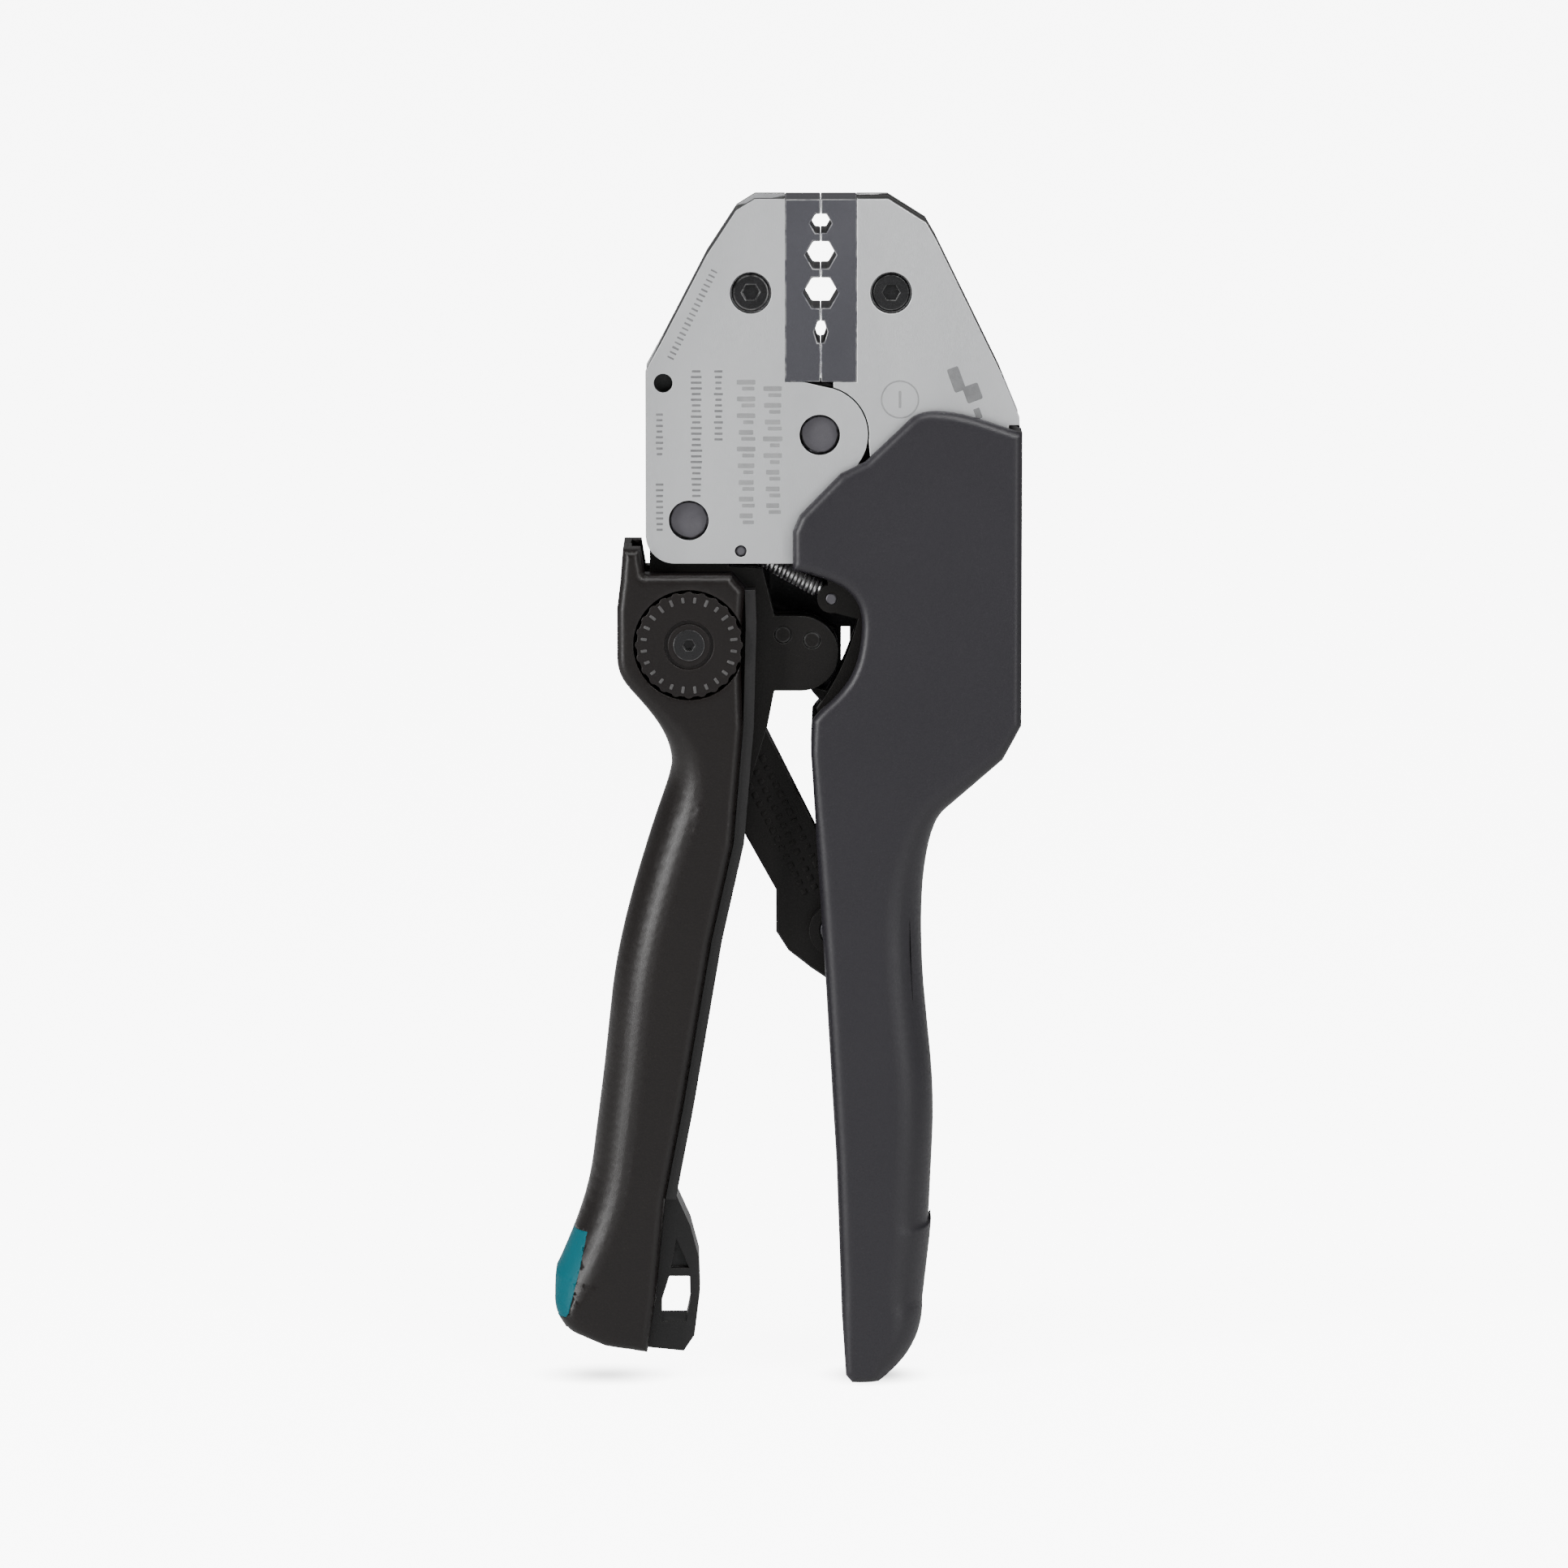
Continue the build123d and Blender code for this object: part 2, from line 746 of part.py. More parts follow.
for side, sign in (("front", -1), ("back", 1)):
    with BuildPart() as cover:
        with BuildSketch(layer(0)):
            make_face(cover_outline())
        extrude(amount=-sign * cover_out)
        with BuildSketch(layer(0)):
            with BuildLine():
                Polyline(*cover_cavity(), close=True)
            make_face()
        extrude(amount=-sign * cover_in, mode=Mode.SUBTRACT)
        with BuildSketch(layer(0)):
            with Locations((5.0, (link_slot_low + link_slot_high) / 2)):
                Rectangle(14.0, link_slot_high - link_slot_low)
        extrude(amount=-sign * (core_in + 0.2), mode=Mode.SUBTRACT)
        with BuildSketch(layer(0)):
            with Locations((4.5, link_pivot[1])):
                Rectangle(11.0, 14.0)
        extrude(amount=-sign * (core_out + 0.1), mode=Mode.SUBTRACT)
        with BuildSketch(layer(sign * core_out)):
            with Locations(*cover_screws):
                Circle(boss_radius)
        extrude(amount=-sign * (cover_in - core_out))
        with BuildSketch(layer(sign * core_out)):
            with Locations(*cover_screws):
                Circle(cover_screw_radius)
        extrude(amount=-sign * (cover_in - core_out), mode=Mode.SUBTRACT)
        if side == "back":
            with BuildSketch(layer(cover_in)):
                with BuildLine():
                    Polyline(*spring_guard, close=True)
                make_face()
                with Locations(guard_window):
                    Rectangle(guard_window_width, guard_window_height, mode=Mode.SUBTRACT)
            extrude(amount=-skin_thickness)
            with BuildSketch(layer(cover_out)):
                with Locations(*cover_screws):
                    Circle(2.9)
            extrude(amount=1.9, mode=Mode.SUBTRACT)
            with BuildSketch(layer(cover_out)):
                with Locations(*cover_screws):
                    Circle(cover_screw_radius)
            extrude(amount=4.0, mode=Mode.SUBTRACT)
    save(cover, f"cover_{side}")

with BuildPart() as screws:
    with BuildSketch(layer(cover_out - 0.3)):
        with Locations(*cover_screws):
            Circle(2.7)
    extrude(amount=1.6)
    with BuildSketch(layer(cover_out - 0.3)):
        with Locations(*cover_screws):
            RegularPolygon(1.2, 6, major_radius=False)
    extrude(amount=1.0, mode=Mode.SUBTRACT)
    with BuildSketch(layer(cover_out - 1.9)):
        with Locations(*cover_screws):
            Circle(cover_screw_radius)
    extrude(amount=cover_out - 1.9 + cover_in - 0.1)
save(screws, "cover_screws")


# Moving handle

handle_rivets = ((-26.0, grip_root + 6.0), (-28.5, grip_end + 42.0))
grip_screws = ((-20.6, 101.0), (-26.8, grip_end + 56.0))
arm_rivets = ((-0.8, 140.6), (4.6, 139.6))
inlay = [
    (-37.4, grip_end + 28.4),
    (-38.7, grip_end + 22.0),
    (-40.9, grip_end + 13.3),
    (-41.4, grip_end + 12.5),
    (-50.0, grip_end + 12.5),
    (-50.0, grip_end + 28.4),
]
grip_edge = 1.4

for side, sign in (("front", -1), ("back", 1)):
    with BuildPart() as plate:
        with BuildSketch(layer(sign * core_in)):
            make_face(handle_plate_outline())
            with Locations(handle_pivot):
                Circle(pivot_radius + running_fit, mode=Mode.SUBTRACT)
            with Locations(wheel_pivot):
                Circle(wheel_bolt_radius + running_fit, mode=Mode.SUBTRACT)
            with Locations(*handle_rivets, *arm_rivets):
                Circle(rivet_radius, mode=Mode.SUBTRACT)
            with Locations(*grip_screws):
                Circle(cover_screw_radius, mode=Mode.SUBTRACT)
        extrude(amount=-sign * core_thickness)
    save(plate, f"handle_plate_{side}")

    with BuildPart() as grip:
        with BuildSketch(layer(0)):
            make_face(grip_outline(strip_width))
        extrude(amount=-sign * cover_out)
        outer_face = grip.faces().sort_by(Axis.Y)[0 if sign < 0 else -1]
        fillet(outer_face.edges(), grip_edge)
        with BuildSketch(layer(0)):
            with BuildLine():
                Polyline(*inlay, close=True)
            make_face()
        extrude(amount=-sign * cover_out, mode=Mode.SUBTRACT)
        with BuildSketch(layer(0)):
            with BuildLine():
                Polyline(
                    (0.0, 165.0),
                    (-28.9, 165.0),
                    (-28.9, 137.4),
                    (-26.5, 131.6),
                    (-20.5, 123.2),
                    (-18.5, 117.0),
                    (-19.5, 110.8),
                    (-24.5, 96.8),
                    (-28.7, 84.0),
                    (-31.3, grip_root),
                    (-33.1, grip_end + 47.0),
                    (-32.1, grip_end + 33.9),
                    (-10.0, grip_end + 33.9),
                    (0.0, 90.0),
                    close=True,
                )
            make_face()
        extrude(amount=-sign * core_out, mode=Mode.SUBTRACT)
        bolt_hole = wheel_bolt_radius + 0.3
        with BuildSketch(layer(sign * cover_out)):
            with Locations(wheel_pivot):
                Circle(bolt_hole)
        extrude(amount=sign * (cover_out - core_out), mode=Mode.SUBTRACT)
        with BuildSketch(layer(sign * cover_out)):
            with Locations(wheel_pivot):
                Circle(wheel_radius + wheel_play if side == "front" else 6.4)
        extrude(amount=sign * wheel_recess, mode=Mode.SUBTRACT)
        if side == "back":
            with BuildSketch(layer(cover_out)):
                with Locations(*grip_screws):
                    Circle(2.9)
            extrude(amount=1.9, mode=Mode.SUBTRACT)
        with BuildSketch(layer(sign * core_out)):
            with Locations(*grip_screws):
                Circle(cover_screw_radius)
        extrude(amount=-sign * (3.5 if side == "front" else 7.0), mode=Mode.SUBTRACT)
    save(grip, f"handle_grip_{side}")

with BuildPart() as grip_screw_set:
    with BuildSketch(layer(cover_out - 0.3)):
        with Locations(*grip_screws):
            Circle(2.7)
    extrude(amount=1.6)
    with BuildSketch(layer(cover_out - 0.3)):
        with Locations(*grip_screws):
            RegularPolygon(1.2, 6, major_radius=False)
    extrude(amount=1.0, mode=Mode.SUBTRACT)
    with BuildSketch(layer(cover_out - 1.9)):
        with Locations(*grip_screws):
            Circle(cover_screw_radius)
    extrude(amount=cover_out - 1.9 + core_out + 3.3)
save(grip_screw_set, "grip_screws")

with BuildPart() as inlay_piece:
    with BuildSketch(layer(cover_out)):
        make_face(grip_outline(strip_width))
    extrude(amount=2 * cover_out)
    fillet(inlay_piece.faces().sort_by(Axis.Y)[0].edges(), grip_edge)
    fillet(inlay_piece.faces().sort_by(Axis.Y)[-1].edges(), grip_edge)
    with BuildSketch(layer(cover_out)):
        with BuildLine():
            Polyline(*inlay, close=True)
        make_face()
    extrude(amount=2 * cover_out, mode=Mode.INTERSECT)
save(inlay_piece, "grip_inlay")

# The spine closes the grip's inner side: two rails beside the link's slot, one solid strip below it,
# and a flat tail with the lanyard eye
spine_fork = 92.0
tail_depth = 5.0
pocket_depth = 1.2
with BuildPart() as spine:
    with BuildSketch(layer(rail_out)):
        with BuildLine():
            Polyline(*handle_edge, *reversed(shifted(handle_edge, -strip_width)), close=True)
        make_face()
    extrude(amount=2 * rail_out)
    with BuildSketch(layer(core_out)):
        with Locations((-8.0, spine_fork)):
            Rectangle(30.0, 80.0, align=(Align.CENTER, Align.MIN))
    extrude(amount=2 * core_out, mode=Mode.SUBTRACT)
    with BuildSketch(layer(tail_depth)):
        with BuildLine():
            Polyline(
                (-20.8, grip_end + 34.8),
                (-18.2, grip_end + 29.0),
                (-16.6, grip_end + 23.0),
                (-16.4, grip_end + 16.0),
                (-17.4, grip_end + 8.0),
                (-19.4, grip_end + 5.0),
                (-26.2, grip_end + 5.7),
                (-24.6, grip_end + 16.0),
                (-22.8, grip_end + 34.8),
                close=True,
            )
        make_face()
        with BuildLine():
            Polyline(
                (-22.1, grip_end + 19.3),
                (-18.3, grip_end + 19.3),
                (-18.2, grip_end + 14.5),
                (-19.0, grip_end + 10.7),
                (-23.6, grip_end + 10.7),
                (-23.6, grip_end + 14.5),
                close=True,
            )
        make_face(mode=Mode.SUBTRACT)
    extrude(amount=2 * tail_depth)
    with BuildSketch(layer(-tail_depth)):
        with BuildLine():
            Polyline(
                (-20.8, grip_end + 26.3),
                (-21.9, grip_end + 20.9),
                (-18.4, grip_end + 20.9),
                close=True,
            )
        make_face()
    extrude(amount=-pocket_depth, mode=Mode.SUBTRACT)
save(spine, "handle_spine")

with BuildPart() as handle_spacer:
    with BuildSketch(layer(core_in)):
        with BuildLine():
            Polyline(
                (-23.8, grip_end + 36.0),
                (-31.0, grip_end + 36.0),
                (-32.0, grip_end + 47.0),
                (-30.2, grip_root),
                (-27.8, 84.0),
                (-25.6, 91.0),
                (-17.6, 91.0),
                (-15.6, 83.0),
                (-18.0, grip_root),
                (-21.4, grip_end + 50.0),
                close=True,
            )
        make_face()
        with Locations(*handle_rivets):
            Circle(rivet_radius, mode=Mode.SUBTRACT)
        with Locations(grip_screws[1]):
            Circle(cover_screw_radius, mode=Mode.SUBTRACT)
    extrude(amount=2 * core_in)
save(handle_spacer, "handle_spacer")

pin_group("handle_rivets", handle_rivets, rivet_radius, core_out, -core_out)
pin_group("ratchet_rivets", arm_rivets, rivet_radius, core_out, -core_out)

with BuildPart() as sector:
    with BuildSketch(layer(core_in)):
        with BuildLine():
            low = sector_start - tooth_count * tooth_angle
            points = []
            for tooth in range(tooth_count):
                angle = sector_start - tooth * tooth_angle
                points.append(polar(arc_centre, sector_radius, angle))
                points.append(polar(arc_centre, sector_radius - tooth_depth, angle - tooth_angle / 2))
            Polyline(
                *points,
                polar(arc_centre, sector_radius, low),
                (4.0, 133.3),
                (-4.6, 138.7),
                (-4.6, 143.6),
                (2.5, 143.9),
                (6.4, 142.7),
                close=True,
            )
        make_face()
        with Locations(*arm_rivets):
            Circle(rivet_radius, mode=Mode.SUBTRACT)
    extrude(amount=2 * core_in)
save(sector, "ratchet_sector")


# Toggle link, pawl and springs

with BuildPart() as link:
    with BuildSketch(layer(link_out)):
        make_face(link_outline())
        with Locations(wheel_pivot):
            Circle(journal_radius + open_pivot_play, mode=Mode.SUBTRACT)
        with Locations(link_pivot):
            Circle(link_pin_radius + running_fit, mode=Mode.SUBTRACT)
    extrude(amount=link_thickness)
save(link, "toggle_link")

pawl_tip = (
    pawl_pivot[0] + pawl_length * cos(pawl_angle),
    pawl_pivot[1] + pawl_length * sin(pawl_angle),
)
pawl_tail_length = 6.0
with BuildPart() as pawl:
    with BuildSketch(layer(link_out)):
        with Locations(pawl_pivot):
            Circle(3.0)
        with BuildLine():
            side_x = -sin(pawl_angle)
            side_z = cos(pawl_angle)
            Polyline(
                (pawl_pivot[0] + 2.6 * side_x, pawl_pivot[1] + 2.6 * side_z),
                (pawl_tip[0] + 0.4 * side_x, pawl_tip[1] + 0.4 * side_z),
                (pawl_tip[0] - 0.4 * side_x, pawl_tip[1] - 0.4 * side_z),
                (pawl_pivot[0] - 2.6 * side_x, pawl_pivot[1] - 2.6 * side_z),
                close=True,
            )
        make_face()
        with BuildLine():
            tail_x = pawl_pivot[0] - pawl_tail_length * cos(pawl_angle)
            tail_z = pawl_pivot[1] - pawl_tail_length * sin(pawl_angle)
            Polyline(
                (pawl_pivot[0] + 1.8 * side_x, pawl_pivot[1] + 1.8 * side_z),
                (tail_x + 1.2 * side_x, tail_z + 1.2 * side_z),
                (tail_x - 1.2 * side_x, tail_z - 1.2 * side_z),
                (pawl_pivot[0] - 1.8 * side_x, pawl_pivot[1] - 1.8 * side_z),
                close=True,
            )
        make_face()
        with Locations(pawl_pivot):
            Circle(pawl_pin_radius + running_fit, mode=Mode.SUBTRACT)
    extrude(amount=link_thickness)
save(pawl, "pawl")


def coil(name, start, end, radius, eye_radius):
    """A tension spring as a tube between two flat eyes."""
    dx = end[0] - start[0]
    dz = end[1] - start[1]
    length = hypot(dx, dz)
    reach = eye_radius + post_radius
    body_start = (start[0] + dx / length * reach, start[1] + dz / length * reach)
    plane = Plane(
        origin=(body_start[0], 0, body_start[1]),
        x_dir=(0, 1, 0),
        z_dir=(dx / length, 0, dz / length),
    )
    with BuildPart() as spring:
        with BuildSketch(plane):
            Circle(radius)
            Circle(radius * 0.6, mode=Mode.SUBTRACT)
        extrude(amount=length - 2 * reach)
        with BuildSketch(layer(0.4)):
            with Locations(start, end):
                Circle(post_radius + eye_radius)
            with Locations(start, end):
                Circle(post_radius + 0.08, mode=Mode.SUBTRACT)
        extrude(amount=0.8)
        for centre, sign in ((start, 1), (end, -1)):
            step = sign * (reach - 0.5) / length
            neck = Plane(
                origin=(centre[0] + dx * step, 0, centre[1] + dz * step),
                x_dir=(0, 1, 0),
                z_dir=(sign * dx / length, 0, sign * dz / length),
            )
            with BuildSketch(neck):
                Rectangle(2 * radius, 0.8)
            extrude(amount=1.0)
    save(spring, name)


coil("return_spring", frame_post, jaw_post, spring_radius, 0.7)

with BuildPart() as pawl_spring:
    reach = post_radius + 0.6
    direction_x = (tail_x - pawl_post[0]) / hypot(tail_x - pawl_post[0], tail_z - pawl_post[1])
    direction_z = (tail_z - pawl_post[1]) / hypot(tail_x - pawl_post[0], tail_z - pawl_post[1])
    plane = Plane(
        origin=(pawl_post[0] + reach * direction_x, 0, pawl_post[1] + reach * direction_z),
        x_dir=(0, 1, 0),
        z_dir=(direction_x, 0, direction_z),
    )
    with BuildSketch(plane):
        Circle(1.2)
        Circle(0.7, mode=Mode.SUBTRACT)
    extrude(amount=hypot(tail_x - pawl_post[0], tail_z - pawl_post[1]) - reach - 0.35)
    with BuildSketch(layer(0.4)):
        with Locations(pawl_post):
            Circle(post_radius + 0.7)
            Circle(post_radius, mode=Mode.SUBTRACT)
    extrude(amount=0.8)
save(pawl_spring, "pawl_spring")


# Adjusting wheel on its eccentric bolt

with BuildPart() as bolt:
    bolt_front = -(wheel_face - wheel_thickness)
    with BuildSketch(layer(-core_in)):
        with Locations(wheel_pivot):
            Circle(wheel_bolt_radius)
    extrude(amount=-core_in - bolt_front)
    with BuildSketch(layer(core_in)):
        with Locations((wheel_pivot[0] - eccentricity, wheel_pivot[1])):
            Circle(journal_radius)
    extrude(amount=2 * core_in)
    with BuildSketch(layer(cover_out - 0.4)):
        with Locations(wheel_pivot):
            Circle(wheel_bolt_radius - 1.2)
    extrude(amount=cover_out - 0.4 - core_in)
    with BuildSketch(layer(bolt_front)):
        with Locations(wheel_pivot):
            Circle(1.5)
    extrude(amount=-5.0, mode=Mode.SUBTRACT)
save(bolt, "eccentric_bolt")

with BuildPart() as wheel:
    lobe_count = 24
    with BuildSketch(layer(bolt_front)):
        with Locations(wheel_pivot):
            Circle(wheel_radius - 0.35)
            with PolarLocations(wheel_radius - 0.9, lobe_count):
                Circle(0.9)
            Circle(1.5, mode=Mode.SUBTRACT)
    extrude(amount=wheel_thickness)
    with BuildSketch(layer(-wheel_face)):
        with Locations(wheel_pivot):
            Circle(4.6)
            Circle(3.9, mode=Mode.SUBTRACT)
    extrude(amount=-0.6, mode=Mode.SUBTRACT)
save(wheel, "adjusting_wheel")

with BuildPart() as lock_screw:
    with BuildSketch(layer(-wheel_face)):
        with Locations(wheel_pivot):
            Circle(2.9)
    extrude(amount=0.2)
    with BuildSketch(layer(-wheel_face)):
        with Locations(wheel_pivot):
            Circle(1.5)
    extrude(amount=-(wheel_thickness + 4.8))
    with BuildSketch(layer(-wheel_face - 0.2)):
        with Locations(wheel_pivot):
            RegularPolygon(1.0, 6, major_radius=False)
    extrude(amount=-1.2, mode=Mode.SUBTRACT)
save(lock_screw, "wheel_lock_screw")

with BuildPart() as clip:
    with BuildSketch(layer(cover_out - 0.6)):
        with Locations(wheel_pivot):
            Circle(5.6)
            Circle(wheel_bolt_radius - 1.2, mode=Mode.SUBTRACT)
    extrude(amount=1.2)
save(clip, "bolt_clip")
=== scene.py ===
import bpy
import bmesh
import math
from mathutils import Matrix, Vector
from mathutils.geometry import delaunay_2d_cdt
from mathutils.kdtree import KDTree


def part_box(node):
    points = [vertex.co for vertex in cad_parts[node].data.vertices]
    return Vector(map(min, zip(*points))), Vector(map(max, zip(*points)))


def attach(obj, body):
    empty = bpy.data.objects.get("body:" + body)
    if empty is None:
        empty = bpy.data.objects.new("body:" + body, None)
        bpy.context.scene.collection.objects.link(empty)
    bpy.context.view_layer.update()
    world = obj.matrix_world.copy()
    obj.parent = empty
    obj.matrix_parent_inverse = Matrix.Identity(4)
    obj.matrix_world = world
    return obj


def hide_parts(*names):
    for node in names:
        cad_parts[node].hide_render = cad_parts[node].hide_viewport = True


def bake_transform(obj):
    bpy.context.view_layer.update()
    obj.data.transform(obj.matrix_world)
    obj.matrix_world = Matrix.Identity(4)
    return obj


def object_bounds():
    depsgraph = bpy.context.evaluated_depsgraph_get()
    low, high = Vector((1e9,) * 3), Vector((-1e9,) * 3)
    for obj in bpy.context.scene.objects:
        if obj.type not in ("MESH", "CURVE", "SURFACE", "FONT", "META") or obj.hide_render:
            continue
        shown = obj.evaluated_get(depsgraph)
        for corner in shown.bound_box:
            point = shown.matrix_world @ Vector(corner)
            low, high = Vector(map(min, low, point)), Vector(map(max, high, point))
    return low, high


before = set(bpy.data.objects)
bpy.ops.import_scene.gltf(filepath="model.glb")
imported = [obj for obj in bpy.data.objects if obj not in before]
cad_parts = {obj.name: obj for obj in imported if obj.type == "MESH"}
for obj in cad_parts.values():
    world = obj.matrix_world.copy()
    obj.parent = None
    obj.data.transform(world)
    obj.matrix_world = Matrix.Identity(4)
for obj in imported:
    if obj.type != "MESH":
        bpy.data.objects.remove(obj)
cad_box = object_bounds()


# ---------------------------------------------------------------- jaw plates
# The outer plates of both jaws are blanked from 3 mm steel, ground flat, edge-broken and given a thin
# satin nickel plating. The main pin clamps the moving pair, and rivets under the cover hold the fixed pair.

def place(piece, body, slot, *nodes):
    """Hangs a finished piece on its body in place of the CAD nodes that it stands for."""
    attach(piece, body)
    if nodes:
        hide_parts(*nodes)


def smooth_normals(piece, angle=38):
    """Smooth faces, with sharp edges only where faces meet at more than angle degrees."""
    piece.data.shade_smooth()
    piece.data.set_sharp_from_angle(angle=math.radians(angle))
    normals = piece.modifiers.new("flat faces stay flat", "WEIGHTED_NORMAL")
    normals.keep_sharp = True


def add_object(name, bm, material):
    """A new object in the scene from bm, which is freed."""
    mesh = bpy.data.meshes.new(name)
    bm.to_mesh(mesh)
    bm.free()
    mesh.materials.append(material)
    piece = bpy.data.objects.new(name, mesh)
    bpy.context.scene.collection.objects.link(piece)
    return piece


def apply_modifiers(piece):
    """Turns the piece with its modifiers into a plain mesh."""
    evaluated = piece.evaluated_get(bpy.context.evaluated_depsgraph_get())
    final = bpy.data.meshes.new_from_object(evaluated)
    piece.modifiers.clear()
    piece.data = final


def cad_copy(node, material):
    """A copy of a CAD piece with its flat faces merged."""
    bm = bmesh.new()
    bm.from_mesh(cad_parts[node].data)
    bmesh.ops.remove_doubles(bm, verts=bm.verts, dist=1e-6)
    bmesh.ops.dissolve_limit(
        bm, angle_limit=math.radians(1), use_dissolve_boundaries=False, verts=bm.verts, edges=bm.edges
    )
    for face in bm.faces:
        face.material_index = 0
    return add_object(f"{node}_shown", bm, material)


def softened(node, body, slot, material, width=0.00025, segments=2):
    """The CAD piece with its edges rounded."""
    piece = cad_copy(node, material)
    piece.data.materials.append(material)
    rounding = piece.modifiers.new("broken edges", "BEVEL")
    rounding.width = width
    rounding.segments = segments
    rounding.limit_method = "ANGLE"
    rounding.angle_limit = math.radians(40)
    rounding.material = 1
    apply_modifiers(piece)
    mesh = piece.data
    mesh.attributes.new("rounded_edge", "FLOAT", "CORNER")
    mesh.attributes.new("cut_side", "FLOAT", "CORNER")
    rounded = mesh.attributes["rounded_edge"].data
    sides = mesh.attributes["cut_side"].data
    for face in mesh.polygons:
        side = 1.0 if abs(face.normal.y) < 0.5 and face.material_index == 0 else 0.0
        for corner in face.loop_indices:
            rounded[corner].value = face.material_index
            sides[corner].value = side
        face.material_index = 0
    mesh.materials.pop(index=1)
    smooth_normals(piece)
    place(piece, body, slot, node)


def grain_group():
    """Fine mottling and grain: a value round 0.5 and a bump height, both from object coordinates."""
    group = bpy.data.node_groups.new("surface grain", "ShaderNodeTree")
    group.interface.new_socket("Vector", in_out="INPUT", socket_type="NodeSocketVector")
    group.interface.new_socket("Grain scale", in_out="INPUT", socket_type="NodeSocketFloat")
    group.interface.new_socket("Cloud scale", in_out="INPUT", socket_type="NodeSocketFloat")
    group.interface.new_socket("Cloud", in_out="OUTPUT", socket_type="NodeSocketFloat")
    group.interface.new_socket("Grain", in_out="OUTPUT", socket_type="NodeSocketFloat")
    nodes = group.nodes
    links = group.links
    inputs = nodes.new("NodeGroupInput")
    outputs = nodes.new("NodeGroupOutput")
    clouds = nodes.new("ShaderNodeTexNoise")
    clouds.inputs["Detail"].default_value = 4
    grains = nodes.new("ShaderNodeTexNoise")
    grains.inputs["Detail"].default_value = 2
    links.new(inputs.outputs["Vector"], clouds.inputs["Vector"])
    links.new(inputs.outputs["Vector"], grains.inputs["Vector"])
    links.new(inputs.outputs["Cloud scale"], clouds.inputs["Scale"])
    links.new(inputs.outputs["Grain scale"], grains.inputs["Scale"])
    links.new(clouds.outputs["Fac"], outputs.inputs["Cloud"])
    links.new(grains.outputs["Fac"], outputs.inputs["Grain"])
    return group


def wear_and_shade_group():
    """Edge mask: 1 on rounded edges, broken up by noise, and 0 elsewhere; it carries edge rubbing on most
    finishes and painted shade on the turned pins.
    """
    group = bpy.data.node_groups.new("edge wear", "ShaderNodeTree")
    group.interface.new_socket("Vector", in_out="INPUT", socket_type="NodeSocketVector")
    group.interface.new_socket("Amount", in_out="INPUT", socket_type="NodeSocketFloat")
    group.interface.new_socket("Wear and shade", in_out="OUTPUT", socket_type="NodeSocketFloat")
    nodes = group.nodes
    links = group.links
    inputs = nodes.new("NodeGroupInput")
    outputs = nodes.new("NodeGroupOutput")
    edges = nodes.new("ShaderNodeAttribute")
    edges.attribute_name = "rounded_edge"
    noise = nodes.new("ShaderNodeTexNoise")
    noise.inputs["Scale"].default_value = 420
    noise.inputs["Detail"].default_value = 5
    broken = nodes.new("ShaderNodeMapRange")
    broken.inputs["From Min"].default_value = 0.40
    broken.inputs["From Max"].default_value = 0.56
    both = nodes.new("ShaderNodeMath")
    both.operation = "MULTIPLY"
    scaled = nodes.new("ShaderNodeMath")
    scaled.operation = "MULTIPLY"
    links.new(inputs.outputs["Vector"], noise.inputs["Vector"])
    links.new(noise.outputs["Fac"], broken.inputs["Value"])
    links.new(edges.outputs["Fac"], both.inputs[0])
    links.new(broken.outputs["Result"], both.inputs[1])
    links.new(both.outputs["Value"], scaled.inputs[0])
    links.new(inputs.outputs["Amount"], scaled.inputs[1])
    links.new(scaled.outputs["Value"], outputs.inputs["Wear and shade"])
    return group


grain_tree = grain_group()
wear_and_shade_tree = wear_and_shade_group()


